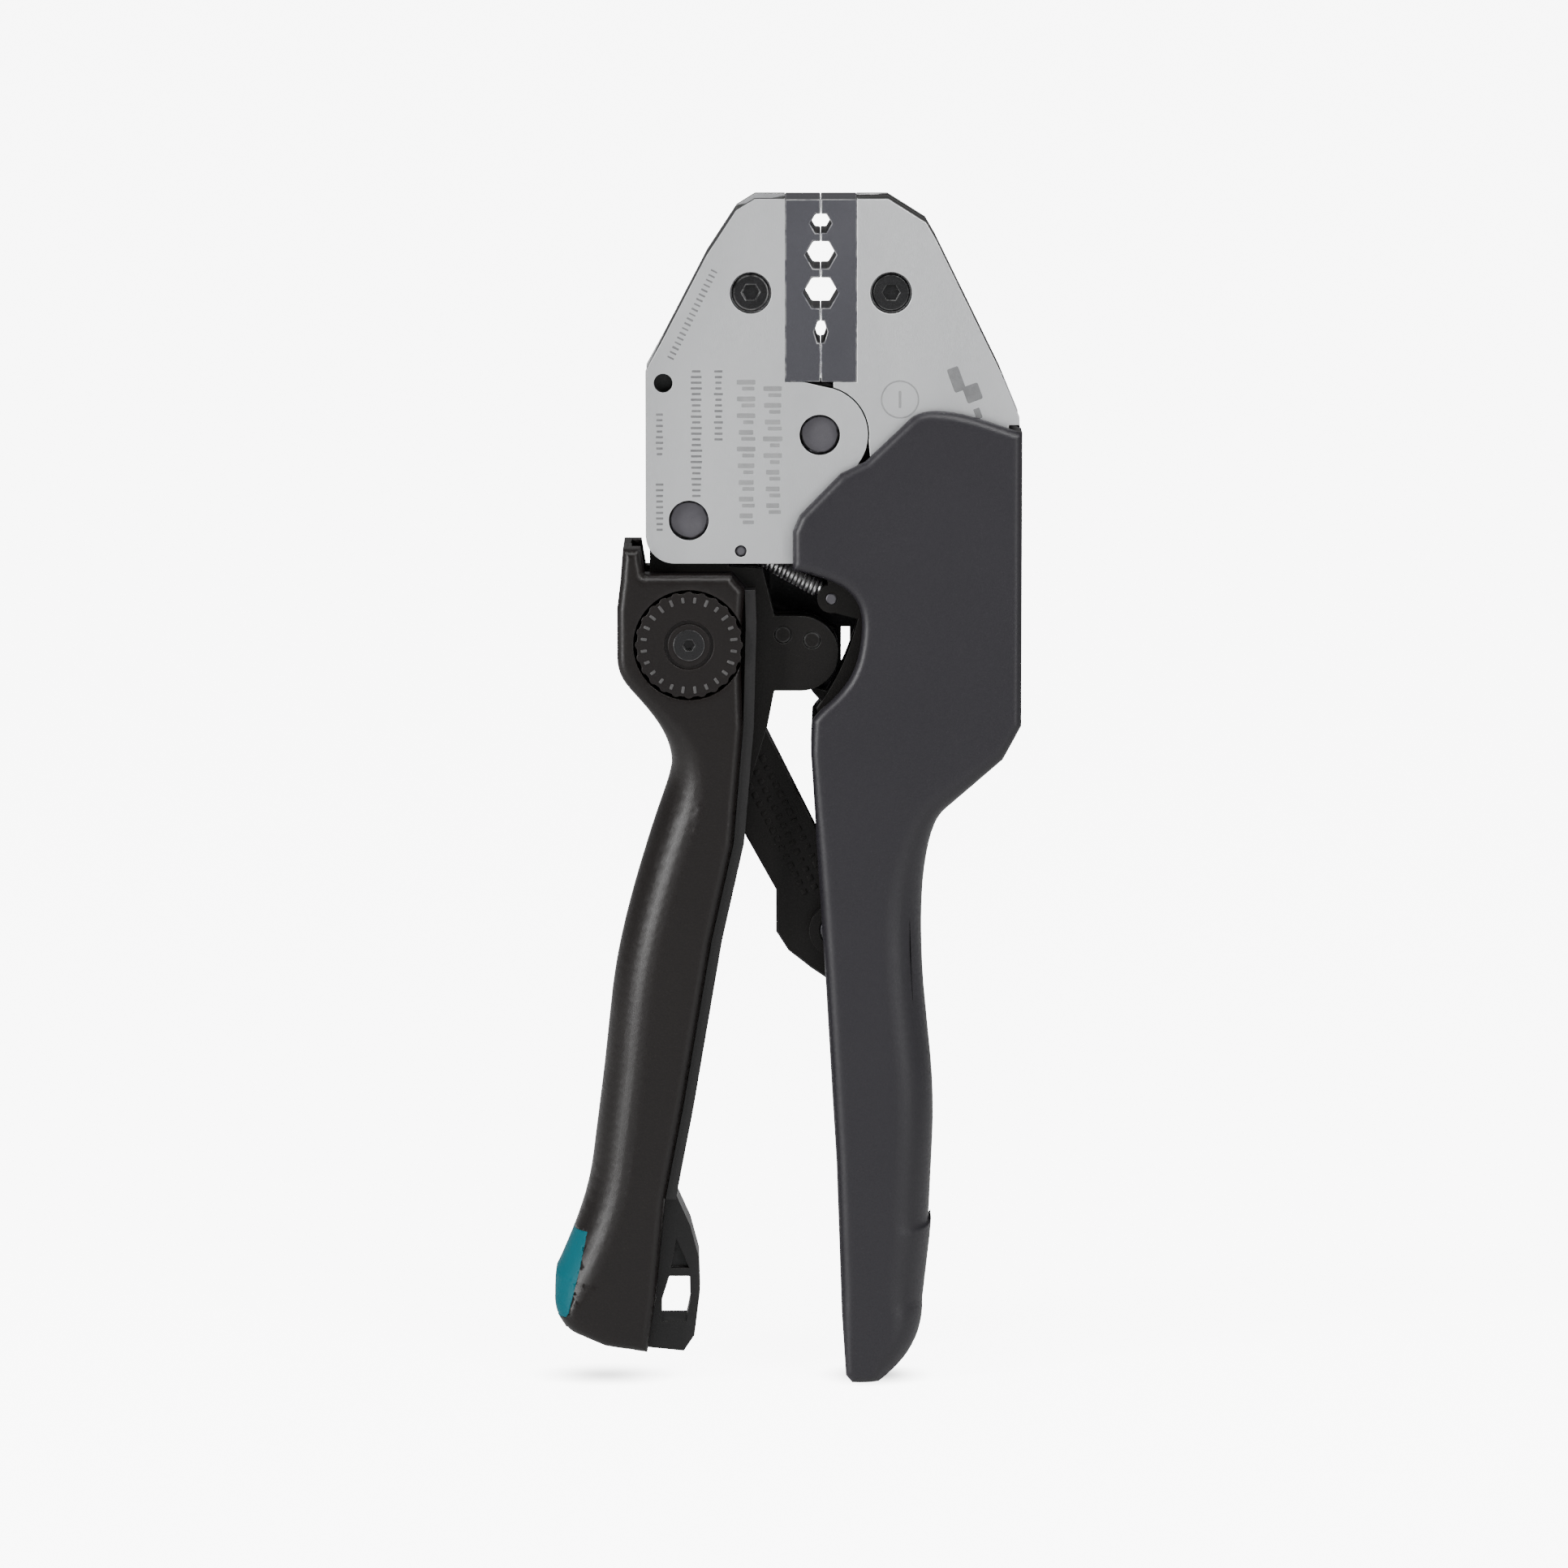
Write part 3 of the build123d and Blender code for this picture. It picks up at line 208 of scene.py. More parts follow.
def finish_material(
    name, dark, light, edge_colour_for_wear_and_shade, metallic, rough, grain, cloud, bump, wear_and_shade,
    stretch=(1, 1, 1), cut=1.0, specular=0.5,
):
    """A surface that drifts from dark to light, with grain in its gloss, an edge colour on rounded edges that
    is edge rubbing on most finishes and painted shade on the turned pins, and darker cut sides.
    """
    first_colour, second_colour, mixed_colour = 6, 7, 2
    material = bpy.data.materials.new(name)
    material.use_nodes = True
    nodes = material.node_tree.nodes
    links = material.node_tree.links
    shader = nodes["Principled BSDF"]
    shader.inputs["Specular IOR Level"].default_value = specular
    place_node = nodes.new("ShaderNodeTexCoord")
    mapping = nodes.new("ShaderNodeMapping")
    mapping.inputs["Scale"].default_value = stretch
    links.new(place_node.outputs["Object"], mapping.inputs["Vector"])
    grain_node = nodes.new("ShaderNodeGroup")
    grain_node.node_tree = grain_tree
    grain_node.inputs["Grain scale"].default_value = grain
    grain_node.inputs["Cloud scale"].default_value = cloud
    links.new(mapping.outputs["Vector"], grain_node.inputs["Vector"])
    wear_and_shade_node = nodes.new("ShaderNodeGroup")
    wear_and_shade_node.node_tree = wear_and_shade_tree
    wear_and_shade_node.inputs["Amount"].default_value = wear_and_shade
    links.new(place_node.outputs["Object"], wear_and_shade_node.inputs["Vector"])
    base = nodes.new("ShaderNodeMix")
    base.data_type = "RGBA"
    base.inputs[first_colour].default_value = (*dark, 1)
    base.inputs[second_colour].default_value = (*light, 1)
    spread = nodes.new("ShaderNodeMapRange")
    spread.inputs["From Min"].default_value = 0.3
    spread.inputs["From Max"].default_value = 0.7
    links.new(grain_node.outputs["Cloud"], spread.inputs["Value"])
    links.new(spread.outputs["Result"], base.inputs[0])
    edged = nodes.new("ShaderNodeMix")
    edged.data_type = "RGBA"
    edged.inputs[second_colour].default_value = (*edge_colour_for_wear_and_shade, 1)
    sides = nodes.new("ShaderNodeAttribute")
    sides.attribute_name = "cut_side"
    sided = nodes.new("ShaderNodeMix")
    sided.data_type = "RGBA"
    sided.inputs[second_colour].default_value = (*(channel * cut for channel in dark), 1)
    links.new(sides.outputs["Fac"], sided.inputs[0])
    links.new(base.outputs[mixed_colour], sided.inputs[first_colour])
    links.new(wear_and_shade_node.outputs["Wear and shade"], edged.inputs[0])
    links.new(sided.outputs[mixed_colour], edged.inputs[first_colour])
    links.new(edged.outputs[mixed_colour], shader.inputs["Base Color"])
    gloss = nodes.new("ShaderNodeMapRange")
    gloss.inputs["From Min"].default_value = 0.25
    gloss.inputs["From Max"].default_value = 0.75
    gloss.inputs["To Min"].default_value = rough - 0.06
    gloss.inputs["To Max"].default_value = rough + 0.08
    links.new(grain_node.outputs["Grain"], gloss.inputs["Value"])
    links.new(gloss.outputs["Result"], shader.inputs["Roughness"])
    shader.inputs["Metallic"].default_value = metallic
    height = nodes.new("ShaderNodeBump")
    height.inputs["Strength"].default_value = bump
    height.inputs["Distance"].default_value = 0.0001
    links.new(grain_node.outputs["Grain"], height.inputs["Height"])
    links.new(height.outputs["Normal"], shader.inputs["Normal"])
    return material


nickel = finish_material(
    "satin nickel plate", (0.40, 0.407, 0.415), (0.485, 0.492, 0.50), (0.74, 0.74, 0.73),
    metallic=0.75, rough=0.46, grain=5200, cloud=45, bump=0.2, wear_and_shade=0.5, stretch=(1, 1, 0.25), cut=0.22,
)
for node, body in (
    ("moving_jaw_plate_front", "moving_jaw"),
    ("moving_jaw_plate_back", "moving_jaw"),
    ("fixed_cheek_front", "fixed_frame"),
    ("fixed_cheek_back", "fixed_frame"),
):
    softened(node, body, "jaw_steel", nickel, 0.0003)


# ---------------------------------------------------------------- plain steel inside
# Cores, spacers, frame and handle plates are cut from steel and blackened or left oiled. They show only in the
# gaps between the covers. Each keeps its machined shape, with its edges broken by a small radius.

oiled = finish_material(
    "oiled steel", (0.035, 0.036, 0.036), (0.06, 0.061, 0.061), (0.16, 0.16, 0.155),
    metallic=0.9, rough=0.40, grain=3800, cloud=90, bump=0.25, wear_and_shade=0.6,
)
blackened = finish_material(
    "black oxide steel", (0.0040, 0.0036, 0.0034), (0.0062, 0.0056, 0.0052), (0.035, 0.035, 0.035),
    metallic=0.0, rough=0.46, grain=3200, cloud=60, bump=0.25, wear_and_shade=0.5, specular=0.14,
)
for node, body in (
    ("moving_jaw_core", "moving_jaw"),
    ("frame_spacer_jaw", "fixed_frame"),
    ("frame_spacer_grip", "fixed_frame"),
    ("handle_spacer", "moving_handle"),
):
    softened(node, body, "core_steel", oiled)
for node, body in (
    ("frame_plate_front", "fixed_frame"),
    ("frame_plate_back", "fixed_frame"),
    ("handle_plate_front", "moving_handle"),
    ("handle_plate_back", "moving_handle"),
    ("ratchet_sector", "moving_handle"),
    ("pawl", "pawl_body"),
):
    softened(node, body, "black_steel", blackened)


# ---------------------------------------------------------------- dies
# Each exchangeable die half is a hardened block, burnished dark, with four hexagonal half nests ground across
# its face. A tang behind it slides between the jaw plates, where one socket-head screw holds it.

burnished = finish_material(
    "burnished die steel", (0.054, 0.054, 0.063), (0.070, 0.070, 0.080), (0.26, 0.26, 0.26),
    metallic=0.7, rough=0.42, grain=4200, cloud=40, bump=0.12, wear_and_shade=0.6,
)
for node, body in (("moving_die", "moving_jaw"), ("fixed_die", "fixed_frame")):
    softened(node, body, "die_steel", burnished, 0.0003)

black_screw = finish_material(
    "black screw", (0.007, 0.007, 0.0075), (0.013, 0.013, 0.014), (0.12, 0.12, 0.12),
    metallic=0.4, rough=0.30, grain=3000, cloud=150, bump=0.2, wear_and_shade=0.7,
)
for node, body in (
    ("moving_die_screw", "moving_jaw"),
    ("fixed_die_screw", "fixed_frame"),
    ("cover_screws", "fixed_frame"),
    ("grip_screws", "moving_handle"),
    ("wheel_lock_screw", "wheel_body"),
):
    softened(node, body, "screw_black", black_screw, 0.00018, 3)


# ---------------------------------------------------------------- pins, rivets and posts
# Turned steel pins with chamfered ends, ground on their bearing lengths. The two big ones show in the jaw's
# face, sunk a little below it, and their rounded rims are coloured near-black as painted shade from the recess
# wall.

# Painted shade: the near-black edge colour, laid at full amount on every rounded edge, paints the recess's
# shadow round the pins' rims.
turned = finish_material(
    "turned pin steel", (0.084, 0.081, 0.092), (0.11, 0.107, 0.118), (0.02, 0.02, 0.02),
    metallic=0.8, rough=0.40, grain=4200, cloud=160, bump=0.2, wear_and_shade=1.0,
)
for node, body in (
    ("main_pivot_pin", "fixed_frame"),
    ("handle_pivot_pin", "moving_jaw"),
    ("link_pin", "fixed_frame"),
    ("pawl_pin", "fixed_frame"),
    ("frame_spring_post", "fixed_frame"),
    ("pawl_spring_post", "fixed_frame"),
    ("jaw_spring_post", "moving_jaw"),
    ("jaw_rivets", "fixed_frame"),
    ("grip_rivets", "fixed_frame"),
    ("handle_rivets", "moving_handle"),
    ("moving_jaw_dowels", "moving_jaw"),
    ("eccentric_bolt", "wheel_body"),
    ("bolt_clip", "wheel_body"),
):
    softened(node, body, "pin_steel", turned, 0.00025)
softened("ratchet_rivets", "moving_handle", "pin_steel", blackened, 0.00025)


# ---------------------------------------------------------------- springs
# The return spring is close-wound from 0.7 mm wire, with a turned eye round each post, and pulls the jaw's tail
# to the frame. The pawl's spring is hidden by the cover and keeps the shape of a plain tube with one eye.

def tube(path, radius, sides=8):
    """Round wire swept along a path of points, closed at both ends."""
    bm = bmesh.new()
    normal = Vector((0, 1, 0))
    rings = []
    for i, point in enumerate(path):
        ahead = (path[min(i + 1, len(path) - 1)] - path[max(i - 1, 0)]).normalized()
        normal = (normal - ahead * normal.dot(ahead)).normalized()
        side = ahead.cross(normal)
        ring = []
        for k in range(sides):
            t = 2 * math.pi * k / sides
            ring.append(bm.verts.new(point + (normal * math.cos(t) + side * math.sin(t)) * radius))
        rings.append(ring)
    for a, b in zip(rings, rings[1:]):
        for k in range(sides):
            bm.faces.new((a[k], a[(k + 1) % sides], b[(k + 1) % sides], b[k]))
    for ring in (rings[0], rings[-1]):
        bm.faces.new(ring)
    bmesh.ops.recalc_face_normals(bm, faces=bm.faces)
    return bm


def spring_path(start, end, eye, coil, turns):
    """The wire's centre line: an eye round each post with a close-wound helix between them."""
    along = (end - start).normalized()
    side = Vector((0, 1, 0))
    up = along.cross(side)
    eye_points = 20
    coil_points = 16
    grow_points = 10
    points = []
    for k in range(eye_points):
        t = 2 * math.pi * k / eye_points
        lift = side * (0.0002 - 0.0004 * k / eye_points)
        points.append(start + (along * math.cos(t) - up * math.sin(t)) * eye + lift)
    begin = start + along * (eye + coil * 0.5)
    stop = end - along * (eye + coil * 0.5)
    count = turns * coil_points
    for k in range(count + 1):
        t = 2 * math.pi * k / coil_points
        grow = min(1.0, k / grow_points, (count - k) / grow_points)
        round_axis = (side * math.cos(t) + up * math.sin(t)) * coil * max(grow, 0.1)
        points.append(begin.lerp(stop, k / count) + round_axis)
    for k in range(1, eye_points):
        t = 2 * math.pi * k / eye_points
        lift = side * (0.0004 * k / eye_points - 0.0002)
        points.append(end + (-along * math.cos(t) + up * math.sin(t)) * eye + lift)
    return points


def centre_of(node):
    low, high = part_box(node)
    return Vector(((low[0] + high[0]) / 2, 0, (low[2] + high[2]) / 2))


spring_steel = finish_material(
    "bright spring steel", (0.42, 0.42, 0.42), (0.52, 0.52, 0.52), (0.70, 0.70, 0.70),
    metallic=0.9, rough=0.32, grain=4200, cloud=160, bump=0.2, wear_and_shade=0.3,
)
frame_end = centre_of("frame_spring_post")
jaw_end = centre_of("jaw_spring_post")
return_wire = 0.00035
coils = tube(spring_path(frame_end, jaw_end, 0.00148, 0.0013, 18), return_wire)
return_spring = add_object("return_spring_shown", coils, spring_steel)
smooth_normals(return_spring)
apply_modifiers(return_spring)
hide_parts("return_spring")
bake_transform(return_spring)
softened("pawl_spring", "fixed_frame", "spring_steel", spring_steel, 0.0001)


# ---------------------------------------------------------------- fixed handle
# The fixed handle is two smooth dark grey mouldings, screwed together from the back over the steel frame. Its
# head is flat with a 1.8 mm edge radius, and the edges swell below it into a full round grip.

def face_outline(node, front=True):
    """The outer boundary of a CAD node's outermost flat face, as a list of (x, z)."""
    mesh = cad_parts[node].data
    depths = [v.co.y for v in mesh.vertices]
    level = min(depths) if front else max(depths)
    edges = set()
    for face in mesh.polygons:
        corners = [mesh.vertices[i].co for i in face.vertices]
        if any(abs(c.y - level) > 1e-6 for c in corners):
            continue
        keys = [(round(c.x, 6), round(c.z, 6)) for c in corners]
        if not front:
            keys.reverse()
        edges.update(zip(keys, keys[1:] + keys[:1]))
    following = {}
    for a, b in edges:
        if (b, a) not in edges:
            following.setdefault(a, []).append(b)
    loops = []
    for a in list(following):
        while following[a]:
            loop = [a]
            b = following[a].pop()
            while b != a:
                loop.append(b)
                b = following[b].pop()
            loops.append(loop)
    return max(loops, key=lambda points: abs(signed_area(points)))


def signed_area(points):
    return sum(a[0] * b[1] - b[0] * a[1] for a, b in zip(points, points[1:] + points[:1])) / 2


def dense(loop, step):
    """The loop with straight stretches cut so that no two points are farther apart than step."""
    out = []
    for a, b in zip(loop, loop[1:] + loop[:1]):
        count = max(1, math.ceil((Vector(b) - Vector(a)).length / step))
        out += [tuple(Vector(a).lerp(Vector(b), k / count)) for k in range(count)]
    return out


def grown(points, distance):
    """The loop moved outwards by a distance."""
    out = []
    count = len(points)
    for i in range(count):
        a, b, c = (Vector(points[(i + k) % count]) for k in (-1, 0, 1))
        first = (b - a).normalized()
        second = (c - b).normalized()
        normal = Vector((first.y + second.y, -first.x - second.x)).normalized()
        sharpness = max(0.6, normal.dot(Vector((first.y, -first.x))))
        out.append(tuple(b + normal * distance / sharpness))
    return out


def inside(loop, x, z):
    """True when the point lies inside the loop."""
    odd = False
    for (x1, z1), (x2, z2) in zip(loop, loop[1:] + loop[:1]):
        if (z1 > z) != (z2 > z) and x < x1 + (z - z1) / (z2 - z1) * (x2 - x1):
            odd = not odd
    return odd


def crowned_solid(name, outline, half_depth, radius, spacing=0.0009):
    """A solid that fills the outline. Its front and back round over by radius(x, z) of the nearest edge."""
    edge_step = 0.0008
    fine_step = 0.0001
    closest_ring = 0.00006
    on_edge = 0.00002
    unit = 0.001
    edge = dense(outline, edge_step)
    fine = dense(outline, fine_step)
    tree = KDTree(len(fine))
    for i, (x, z) in enumerate(fine):
        tree.insert((x, z, 0), i)
    tree.balance()
    rings = []
    for share in (0.01, 0.04, 0.09, 0.16, 0.25, 0.36, 0.5, 0.65, 0.82):
        reach = [radius(x, z) * share for x, z in edge]
        for (x, z), (gx, gz), r in zip(edge, grown(edge, unit), reach):
            rings.append(Vector((x - (gx - x) * r / unit, z - (gz - z) * r / unit)))
    xs = [p[0] for p in outline]
    zs = [p[1] for p in outline]
    row = 0
    z = min(zs)
    while z < max(zs):
        x = min(xs) + (spacing / 2 if row % 2 else 0)
        while x < max(xs):
            rings.append(Vector((x, z)))
            x += spacing
        z += spacing * 0.866
        row += 1
    points = [Vector(p) for p in edge]
    for p in rings:
        away = tree.find((p.x, p.y, 0))[2]
        if away > closest_ring and inside(outline, p.x, p.y):
            points.append(p)
    borders = [(i, (i + 1) % len(edge)) for i in range(len(edge))]
    result = delaunay_2d_cdt(points, borders, [], 1, 1e-7)
    heights = []
    for p, origins in zip(result[0], result[3]):
        nearest, _, away = tree.find((p.x, p.y, 0))
        r = radius(nearest.x, nearest.y)
        if away < on_edge or any(i < len(edge) for i in origins):
            heights.append(r)
        else:
            heights.append(r - math.sqrt(r * r - max(0.0, r - away) ** 2))
    bm = bmesh.new()
    front = [bm.verts.new((p.x, h - half_depth, p.y)) for p, h in zip(result[0], heights)]
    back = [bm.verts.new((p.x, half_depth - h, p.y)) for p, h in zip(result[0], heights)]
    for face in result[2]:
        bm.faces.new([front[i] for i in face])
        bm.faces.new([back[i] for i in reversed(face)])
    place_of = {origin: i for i, origins in enumerate(result[3]) for origin in origins}
    for i, j in borders:
        a, b = place_of[i], place_of[j]
        bm.faces.new((front[a], front[b], back[b], back[a]))
    bmesh.ops.triangulate(bm, faces=bm.faces)
    bmesh.ops.recalc_face_normals(bm, faces=bm.faces)
    return add_object(name, bm, nickel)


def carved(node, body, slot, material, solid):
    """The CAD piece cut to what lies inside the crowned solid."""
    piece = cad_copy(node, material)
    cut = piece.modifiers.new("crown", "BOOLEAN")
    cut.operation = "INTERSECT"
    cut.solver = "EXACT"
    cut.object = solid
    apply_modifiers(piece)
    bm = bmesh.new()
    bm.from_mesh(piece.data)
    bmesh.ops.remove_doubles(bm, verts=bm.verts, dist=2e-6)
    bmesh.ops.triangulate(bm, faces=bm.faces)
    for face in bm.faces:
        face.material_index = 0
    bm.to_mesh(piece.data)
    bm.free()
    piece.data.materials.clear()
    piece.data.materials.append(material)
    smooth_normals(piece, 30)
    place(piece, body, slot, node)


def eased(low, high, value):
    """0 below low, 1 above high and smooth between."""
    t = min(1.0, max(0.0, (value - low) / (high - low)))
    return t * t * (3 - 2 * t)


def cover_radius(x, z):
    """The edge radius round the fixed handle's outline."""
    head = 0.0018
    grip = 1 - eased(0.085, 0.125, z)
    middle = 0.0175 + 0.004 * eased(0.06, 0.10, z)
    right = eased(middle - 0.003, middle + 0.003, x)
    full = 0.0026 + 0.0056 * right
    tip = 0.6 + 0.4 * eased(0.0, 0.02, z)
    return head + (full * tip - head) * grip


grey_plastic = finish_material(
    "dark grey moulding", (0.0098, 0.0089, 0.0116), (0.0114, 0.0104, 0.0134), (0.03, 0.03, 0.033),
    metallic=0.0, rough=0.42, grain=6500, cloud=35, bump=0.16, wear_and_shade=0.2, specular=0.32,
)
cover_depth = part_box("cover_back")[1][1] - 0.00002
for node, is_front in (("cover_front", True), ("cover_back", False)):
    outline = face_outline(node, is_front)
    cover_solid = crowned_solid("cover_crown", grown(outline, 0.00005), cover_depth, cover_radius)
    carved(node, "fixed_frame", "cover_plastic", grey_plastic, cover_solid)
    bpy.data.objects.remove(cover_solid)


# ---------------------------------------------------------------- moving handle
# Two black-brown mouldings wrap the steel core of the moving handle. A softer teal insert is set in the outside
# of its foot, and a separate dark grey spine runs down its inner edge to the lanyard eye.

def grip_radius(x, z):
    """The edge radius round the moving handle's outline."""
    head = 0.0018
    grip = (1 - eased(0.108, 0.130, z)) * eased(0.006, 0.022, z)
    middle = -0.0305 + (z - 0.02) * 0.185
    right = eased(middle - 0.003, middle + 0.003, x)
    full = 0.0088 - 0.0068 * right
    return head + (full - head) * grip


brown_plastic = finish_material(
    "black-brown moulding", (0.0040, 0.0028, 0.0026), (0.0049, 0.0036, 0.0033), (0.022, 0.019, 0.018),
    metallic=0.0, rough=0.36, grain=6000, cloud=40, bump=0.16, wear_and_shade=0.2, specular=0.26,
)
spine_plastic = finish_material(
    "spine moulding", (0.0072, 0.0069, 0.0071), (0.0090, 0.0087, 0.0089), (0.03, 0.03, 0.03),
    metallic=0.0, rough=0.44, grain=6000, cloud=40, bump=0.16, wear_and_shade=0.3, specular=0.26,
)
teal = finish_material(
    "teal insert", (0.0, 0.068, 0.088), (0.0002, 0.080, 0.102), (0.006, 0.12, 0.15),
    metallic=0.0, rough=0.5, grain=6000, cloud=60, bump=0.16, wear_and_shade=0.2, specular=0.12,
)


def outer_outline(*loops):
    """The outline round several loops that overlap."""
    points = []
    borders = []
    for loop in loops:
        start = len(points)
        points += [Vector(p) for p in loop]
        borders += [(start + i, start + (i + 1) % len(loop)) for i in range(len(loop))]
    result = delaunay_2d_cdt(points, borders, [], 1, 1e-7)
    sides = {(a, b) for face in result[2] for a, b in zip(face, face[1:] + face[:1])}
    following = {a: b for a, b in sides if (b, a) not in sides}
    first = min(following, key=lambda i: result[0][i].y)
    outline = [first]
    while following[outline[-1]] != first:
        outline.append(following[outline[-1]])
    return [tuple(result[0][i]) for i in outline]


edge_fillet = 0.0014
whole_grip = outer_outline(
    grown(face_outline("handle_grip_front"), edge_fillet), grown(face_outline("grip_inlay"), edge_fillet)
)
grip_depth = -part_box("grip_inlay")[0][1] - 0.00002
grip_solid = crowned_solid("grip_crown", whole_grip, grip_depth, grip_radius)
for node in ("handle_grip_front", "handle_grip_back"):
    carved(node, "moving_handle", "grip_plastic", brown_plastic, grip_solid)
carved("grip_inlay", "moving_handle", "inlay_plastic", teal, grip_solid)
bpy.data.objects.remove(grip_solid)
softened("handle_spine", "moving_handle", "grip_plastic", spine_plastic, 0.0006, 3)


# ---------------------------------------------------------------- adjusting wheel
# A moulded wheel with 24 lobes sets the crimping force. It turns in a round recess, with a raised hub ring and
# a lock screw in its middle, and short raised marks round its rim, coloured lighter than the wheel as a painted
# highlight.

def stamp_tree():
    """Stamps one small mesh on every point, turned and sized by the point's own values."""
    tree = bpy.data.node_groups.new("stamps on points", "GeometryNodeTree")
    tree.interface.new_socket("Geometry", in_out="INPUT", socket_type="NodeSocketGeometry")
    tree.interface.new_socket("Stamp", in_out="INPUT", socket_type="NodeSocketObject")
    tree.interface.new_socket("Spread", in_out="INPUT", socket_type="NodeSocketFloat")
    tree.interface.new_socket("Seed", in_out="INPUT", socket_type="NodeSocketInt")
    tree.interface.new_socket("Material", in_out="INPUT", socket_type="NodeSocketMaterial")
    tree.interface.new_socket("Geometry", in_out="OUTPUT", socket_type="NodeSocketGeometry")
    nodes = tree.nodes
    links = tree.links
    inputs = nodes.new("NodeGroupInput")
    outputs = nodes.new("NodeGroupOutput")
    info = nodes.new("GeometryNodeObjectInfo")
    values = {}
    for name in ("wide", "tall", "turn"):
        values[name] = nodes.new("GeometryNodeInputNamedAttribute")
        values[name].data_type = "FLOAT"
        values[name].inputs["Name"].default_value = name
    least = nodes.new("ShaderNodeMath")
    least.operation = "SUBTRACT"
    least.inputs[0].default_value = 1
    lowest, highest, number = 2, 3, 1
    drawn = nodes.new("FunctionNodeRandomValue")
    drawn.data_type = "FLOAT"
    drawn.inputs[highest].default_value = 1
    width = nodes.new("ShaderNodeMath")
    width.operation = "MULTIPLY"
    scale = nodes.new("ShaderNodeCombineXYZ")
    scale.inputs["Y"].default_value = 1
    turn = nodes.new("ShaderNodeCombineXYZ")
    stamps = nodes.new("GeometryNodeInstanceOnPoints")
    real = nodes.new("GeometryNodeRealizeInstances")
    coat = nodes.new("GeometryNodeSetMaterial")
    links.new(inputs.outputs["Geometry"], stamps.inputs["Points"])
    links.new(inputs.outputs["Stamp"], info.inputs["Object"])
    links.new(info.outputs["Geometry"], stamps.inputs["Instance"])
    links.new(inputs.outputs["Spread"], least.inputs[1])
    links.new(least.outputs["Value"], drawn.inputs[lowest])
    links.new(inputs.outputs["Seed"], drawn.inputs["Seed"])
    links.new(values["wide"].outputs["Attribute"], width.inputs[0])
    links.new(drawn.outputs[number], width.inputs[1])
    links.new(width.outputs["Value"], scale.inputs["X"])
    links.new(values["tall"].outputs["Attribute"], scale.inputs["Z"])
    links.new(values["turn"].outputs["Attribute"], turn.inputs["Y"])
    links.new(scale.outputs["Vector"], stamps.inputs["Scale"])
    links.new(turn.outputs["Vector"], stamps.inputs["Rotation"])
    links.new(stamps.outputs["Instances"], real.inputs["Geometry"])
    links.new(real.outputs["Geometry"], coat.inputs["Geometry"])
    links.new(inputs.outputs["Material"], coat.inputs["Material"])
    links.new(coat.outputs["Geometry"], outputs.inputs["Geometry"])
    return tree


def rounded_pad(name, height, corner):
    """A pad 1 mm square with round corners, standing on y 0 and rising towards the front."""
    bm = bmesh.new()
    width = 0.001
    sink = 0.00005
    straight = 0.5 - corner
    outline = []
    for cx, cz, start in ((1, 1, 0), (-1, 1, 90), (-1, -1, 180), (1, -1, 270)):
        for k in range(5):
            t = math.radians(start + 22.5 * k)
            outline.append((cx * straight + corner * math.cos(t), cz * straight + corner * math.sin(t)))
    levels = []
    for y, shrink in ((sink, 1.0), (-height * 0.5, 1.0), (-height * 0.85, 0.93), (-height, 0.8)):
        levels.append([bm.verts.new((x * shrink * width, y, z * shrink * width)) for x, z in outline])
    for a, b in zip(levels, levels[1:]):
        for k in range(len(outline)):
            j = (k + 1) % len(outline)
            bm.faces.new((a[k], a[j], b[j], b[k]))
    bm.faces.new(levels[0])
    bm.faces.new(levels[-1])
    bmesh.ops.recalc_face_normals(bm, faces=bm.faces)
    return add_object(name, bm, nickel)


stamps = stamp_tree()


def stamped(name, points, y, pad, material, spread, seed):
    """One mesh of pads, one at every (x, z, wide, tall, turn), on the plane y."""
    mesh = bpy.data.meshes.new(name)
    mesh.from_pydata([(p[0], y, p[1]) for p in points], [], [])
    for index, key in enumerate(("wide", "tall", "turn")):
        values = mesh.attributes.new(key, "FLOAT", "POINT")
        values.data.foreach_set("value", [p[2 + index] for p in points])
    piece = bpy.data.objects.new(name, mesh)
    bpy.context.scene.collection.objects.link(piece)
    maker = piece.modifiers.new("stamps", "NODES")
    maker.node_group = stamps
    sockets = {
        item.name: item.identifier for item in stamps.interface.items_tree if item.in_out == "INPUT"
    }
    maker[sockets["Stamp"]] = pad
    maker[sockets["Spread"]] = spread
    maker[sockets["Seed"]] = seed
    maker[sockets["Material"]] = material
    apply_modifiers(piece)
    smooth_normals(piece)
    return piece


softened("adjusting_wheel", "wheel_body", "grip_plastic", brown_plastic, 0.00015)
wheel_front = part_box("adjusting_wheel")[0][1]
wheel_centre = centre_of("adjusting_wheel")
mark_count = 24
mark_circle = 0.0084
rim_marks = []
for k in range(mark_count):
    t = 2 * math.pi * (k + 0.5) / mark_count
    mark_x = wheel_centre.x + mark_circle * math.cos(t)
    mark_z = wheel_centre.z + mark_circle * math.sin(t)
    rim_marks.append((mark_x, mark_z, 1.5, 0.55, -t))
pad = rounded_pad("rim_pad", 0.00015, 0.2)
# Painted highlight: the rim marks get a lighter grey than the wheel, as if each one caught the light.
rim_marks_painted_highlight = finish_material(
    "wheel marks painted lighter as highlight", (0.030, 0.029, 0.029), (0.040, 0.039, 0.039), (0.06, 0.06, 0.06),
    metallic=0.0, rough=0.40, grain=6000, cloud=200, bump=0.16, wear_and_shade=0.2,
)
rim = stamped("wheel_rim_marks", rim_marks, wheel_front, pad, rim_marks_painted_highlight, 0.35, 4)
place(rim, "wheel_body", "grip_plastic")


# ---------------------------------------------------------------- toggle link
# The link is a forged bar from the adjusting wheel to the fixed handle, blackened, with rows of short raised
# ribs along its face.

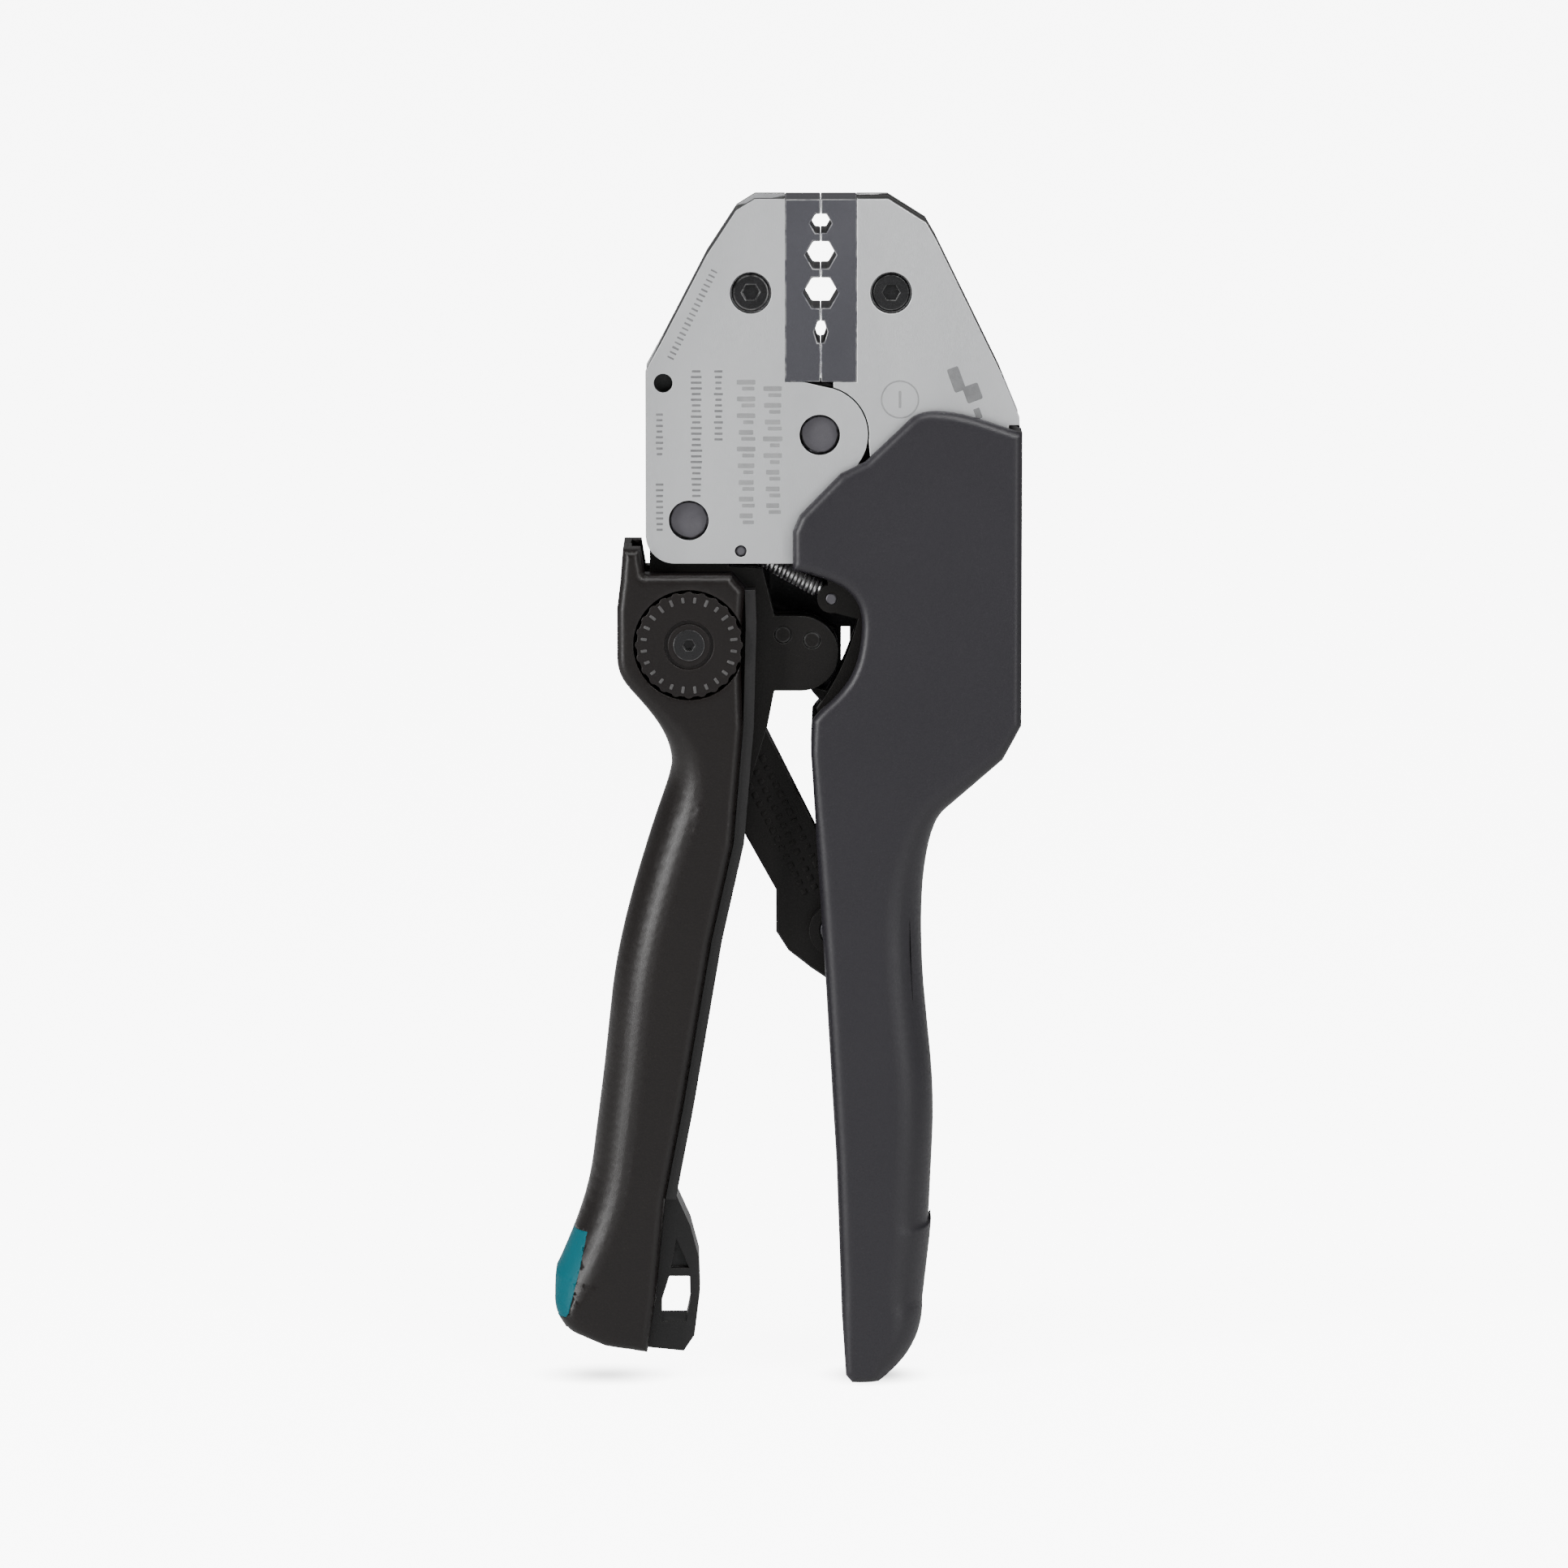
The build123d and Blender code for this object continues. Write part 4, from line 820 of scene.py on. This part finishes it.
softened("toggle_link", "toggle_link_body", "black_steel", blackened, 0.0004, 3)
link_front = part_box("toggle_link")[0][1]
link_along = (centre_of("link_pin") - wheel_centre).normalized()
link_across = Vector((-link_along.z, 0, link_along.x))
tilt = math.atan2(-link_along.z, link_along.x)
first_rib = 0.0225
rib_pitch = 0.00185
ribs = []
for shift in (-0.0022, 0.0, 0.0022):
    for k in range(17):
        spot = wheel_centre + link_along * (first_rib + rib_pitch * k) + link_across * shift
        ribs.append((spot.x, spot.z, 1.35, 1.1, tilt))
link_ribs = stamped("link_ribs", ribs, link_front, pad, blackened, 0.6, 11)
place(link_ribs, "toggle_link_body", "black_steel")


# ---------------------------------------------------------------- etched marks
# Plain marks are laser-etched in the jaw plates where the tool carries its markings. They carry no words or
# signs, only rows of bars of uneven length, a plain ring with one tick and three pads.

etched = finish_material(
    "etched steel", (0.12, 0.122, 0.125), (0.17, 0.172, 0.175), (0.25, 0.25, 0.25),
    metallic=0.6, rough=0.6, grain=5200, cloud=300, bump=0.2, wear_and_shade=0.2,
)
faint = finish_material(
    "faintly etched steel", (0.22, 0.223, 0.226), (0.27, 0.273, 0.276), (0.35, 0.35, 0.35),
    metallic=0.7, rough=0.55, grain=5200, cloud=300, bump=0.2, wear_and_shade=0.2,
)
plate_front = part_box("moving_jaw_plate_front")[0][1]
thin_pad = rounded_pad("etch_pad", 0.00003, 0.12)
line_pitch = 0.0031
large = []
for x, count, drop in ((-0.0076, 9, 0.0), (-0.0027, 8, 0.0012)):
    for k in range(count):
        large.append((x, 0.1880 - line_pitch * k - drop, 3.6, 0.9, 0.0))
        large.append((x + 0.0004, 0.1868 - line_pitch * k - drop, 2.6, 0.7, 0.0))
tick_pitch = 0.00105
small = []
for x, top, bottom, wide in (
    (-0.0127, 0.1900, 0.1765, 1.7),
    (-0.0168, 0.1900, 0.1660, 2.2),
    (-0.0236, 0.1820, 0.1740, 1.5),
    (-0.0236, 0.1690, 0.1600, 1.5),
):
    z = top
    while z > bottom:
        small.append((x, z, wide, 0.42, 0.0))
        z -= tick_pitch
slant_start = Vector((-0.0135, 0.2085))
slant_end = Vector((-0.0215, 0.1925))
slant = math.atan2(slant_end.y - slant_start.y, slant_end.x - slant_start.x)
slant_gaps = 18
for k in range(slant_gaps + 1):
    spot = slant_start.lerp(slant_end, k / slant_gaps)
    small.append((spot.x, spot.y, 0.42, 1.3, -slant))
for name, marks, material, seed in (
    ("jaw_large_marks", large, faint, 3),
    ("jaw_small_marks", small, etched, 7),
):
    marked = stamped(name, marks, plate_front, thin_pad, material, 0.35, seed)
    place(marked, "moving_jaw", "jaw_steel")

ring_x, ring_z = 0.0208, 0.1848
ring_radius = 0.0034
ring_pads = 72
ring = []
for k in range(ring_pads):
    t = 2 * math.pi * k / ring_pads
    ring.append((ring_x + ring_radius * math.cos(t), ring_z + ring_radius * math.sin(t), 0.3, 0.34, -t))
ring.append((ring_x, ring_z, 0.5, 3.2, 0.0))
bars = [
    (0.0312, 0.1885, 2.2, 4.6, -0.35),
    (0.0342, 0.1860, 3.0, 3.2, -0.35),
    (0.0352, 0.1822, 1.2, 2.0, -0.35),
]
for name, marks, material, seed in (
    ("cheek_ring_mark", ring, faint, 5),
    ("cheek_bar_marks", bars, etched, 6),
):
    marked = stamped(name, marks, plate_front, thin_pad, material, 0.0, seed)
    place(marked, "fixed_frame", "jaw_steel")
bpy.data.objects.remove(pad)
bpy.data.objects.remove(thin_pad)


# ---------------------------------------------------------------- floor, light and camera
# A white table and a white sky that glow only when looked at, with two soft painted shadows where the handles
# stand: the table's glow is dimmed under each handle tip.
# Soft boxes light the tool from the left, the right and above, and a small lamp lights the head.

view_centre = Vector((-0.0006, 0.0, 0.1119))
floor_level = cad_box[0][2] - 0.0006
reach = 8.0
bm = bmesh.new()
corners = ((-1, -1), (1, -1), (1, 1), (-1, 1))
bm.faces.new([bm.verts.new((x * reach, y * reach, floor_level)) for x, y in corners])
white = bpy.data.materials.new("studio white")
white.use_nodes = True
nodes = white.node_tree.nodes
links = white.node_tree.links
paper = nodes["Principled BSDF"]
paper.inputs["Base Color"].default_value = (0.9, 0.9, 0.9, 1)
paper.inputs["Roughness"].default_value = 0.9
seen = nodes.new("ShaderNodeLightPath")
glow = nodes.new("ShaderNodeMath")
glow.operation = "MULTIPLY"
glow.inputs[1].default_value = 8.0
bright = seen.outputs["Is Camera Ray"]
painted_shadow_coords = nodes.new("ShaderNodeTexCoord")
# Painted shadows: the floor's camera glow is dimmed in a soft ellipse under each handle tip.
for x, half_width, half_depth, painted_shadow_darkness in ((-0.034, 0.016, 0.012, 0.72), (0.0165, 0.012, 0.012, 0.9)):
    around = nodes.new("ShaderNodeMapping")
    around.vector_type = "TEXTURE"
    around.inputs["Location"].default_value = (x, 0, 0)
    around.inputs["Scale"].default_value = (half_width, half_depth, 1)
    away = nodes.new("ShaderNodeVectorMath")
    away.operation = "LENGTH"
    shade = nodes.new("ShaderNodeMapRange")
    shade.interpolation_type = "SMOOTHSTEP"
    shade.inputs["To Min"].default_value = 1 - painted_shadow_darkness
    under = nodes.new("ShaderNodeMath")
    under.operation = "MULTIPLY"
    links.new(painted_shadow_coords.outputs["Object"], around.inputs["Vector"])
    links.new(around.outputs["Vector"], away.inputs[0])
    links.new(away.outputs["Value"], shade.inputs["Value"])
    links.new(bright, under.inputs[0])
    links.new(shade.outputs["Result"], under.inputs[1])
    bright = under.outputs["Value"]
links.new(bright, glow.inputs[0])
links.new(glow.outputs["Value"], paper.inputs["Emission Strength"])
paper.inputs["Emission Color"].default_value = (1, 1, 1, 1)
add_object("studio_floor", bm, white)

world = bpy.data.worlds.new("studio")
world.use_nodes = True
sky = world.node_tree.nodes["Background"]
sky.inputs["Color"].default_value = (1, 1, 1, 1)
looked_at = world.node_tree.nodes.new("ShaderNodeLightPath")
level = world.node_tree.nodes.new("ShaderNodeMath")
level.operation = "MULTIPLY_ADD"
level.inputs[1].default_value = 9.0
level.inputs[2].default_value = 0.26
world.node_tree.links.new(looked_at.outputs["Is Camera Ray"], level.inputs[0])
world.node_tree.links.new(level.outputs["Value"], sky.inputs["Strength"])
bpy.context.scene.world = world


def soft_box(name, position, size, power):
    light = bpy.data.lights.new(name, "AREA")
    light.shape = "RECTANGLE"
    light.size, light.size_y = size
    light.energy = power
    lamp = bpy.data.objects.new(name, light)
    lamp.location = position
    lamp.rotation_euler = (view_centre - Vector(position)).to_track_quat("-Z", "Y").to_euler()
    bpy.context.scene.collection.objects.link(lamp)


soft_box("left soft box", (-1.1, -0.75, 0.35), (0.3, 1.1), 30)
soft_box("right soft box", (0.95, -1.0, 0.30), (0.2, 1.1), 11)
soft_box("top soft box", (0.0, -0.5, 1.3), (1.0, 0.5), 12)
soft_box("head soft box", (0.115, -0.16, 0.33), (0.08, 0.08), 0.35)

camera_data = bpy.data.cameras.new("camera")
camera_data.lens = 200
camera_data.sensor_width = 36
camera = bpy.data.objects.new("camera", camera_data)
elevation = math.radians(8.3)
view_width = 0.2927
distance = view_width * camera_data.lens / camera_data.sensor_width
camera.location = view_centre + Vector((0, -math.cos(elevation), math.sin(elevation))) * distance
camera.rotation_euler = (view_centre - camera.location).to_track_quat("-Z", "Y").to_euler()
bpy.context.scene.collection.objects.link(camera)
bpy.context.scene.camera = camera
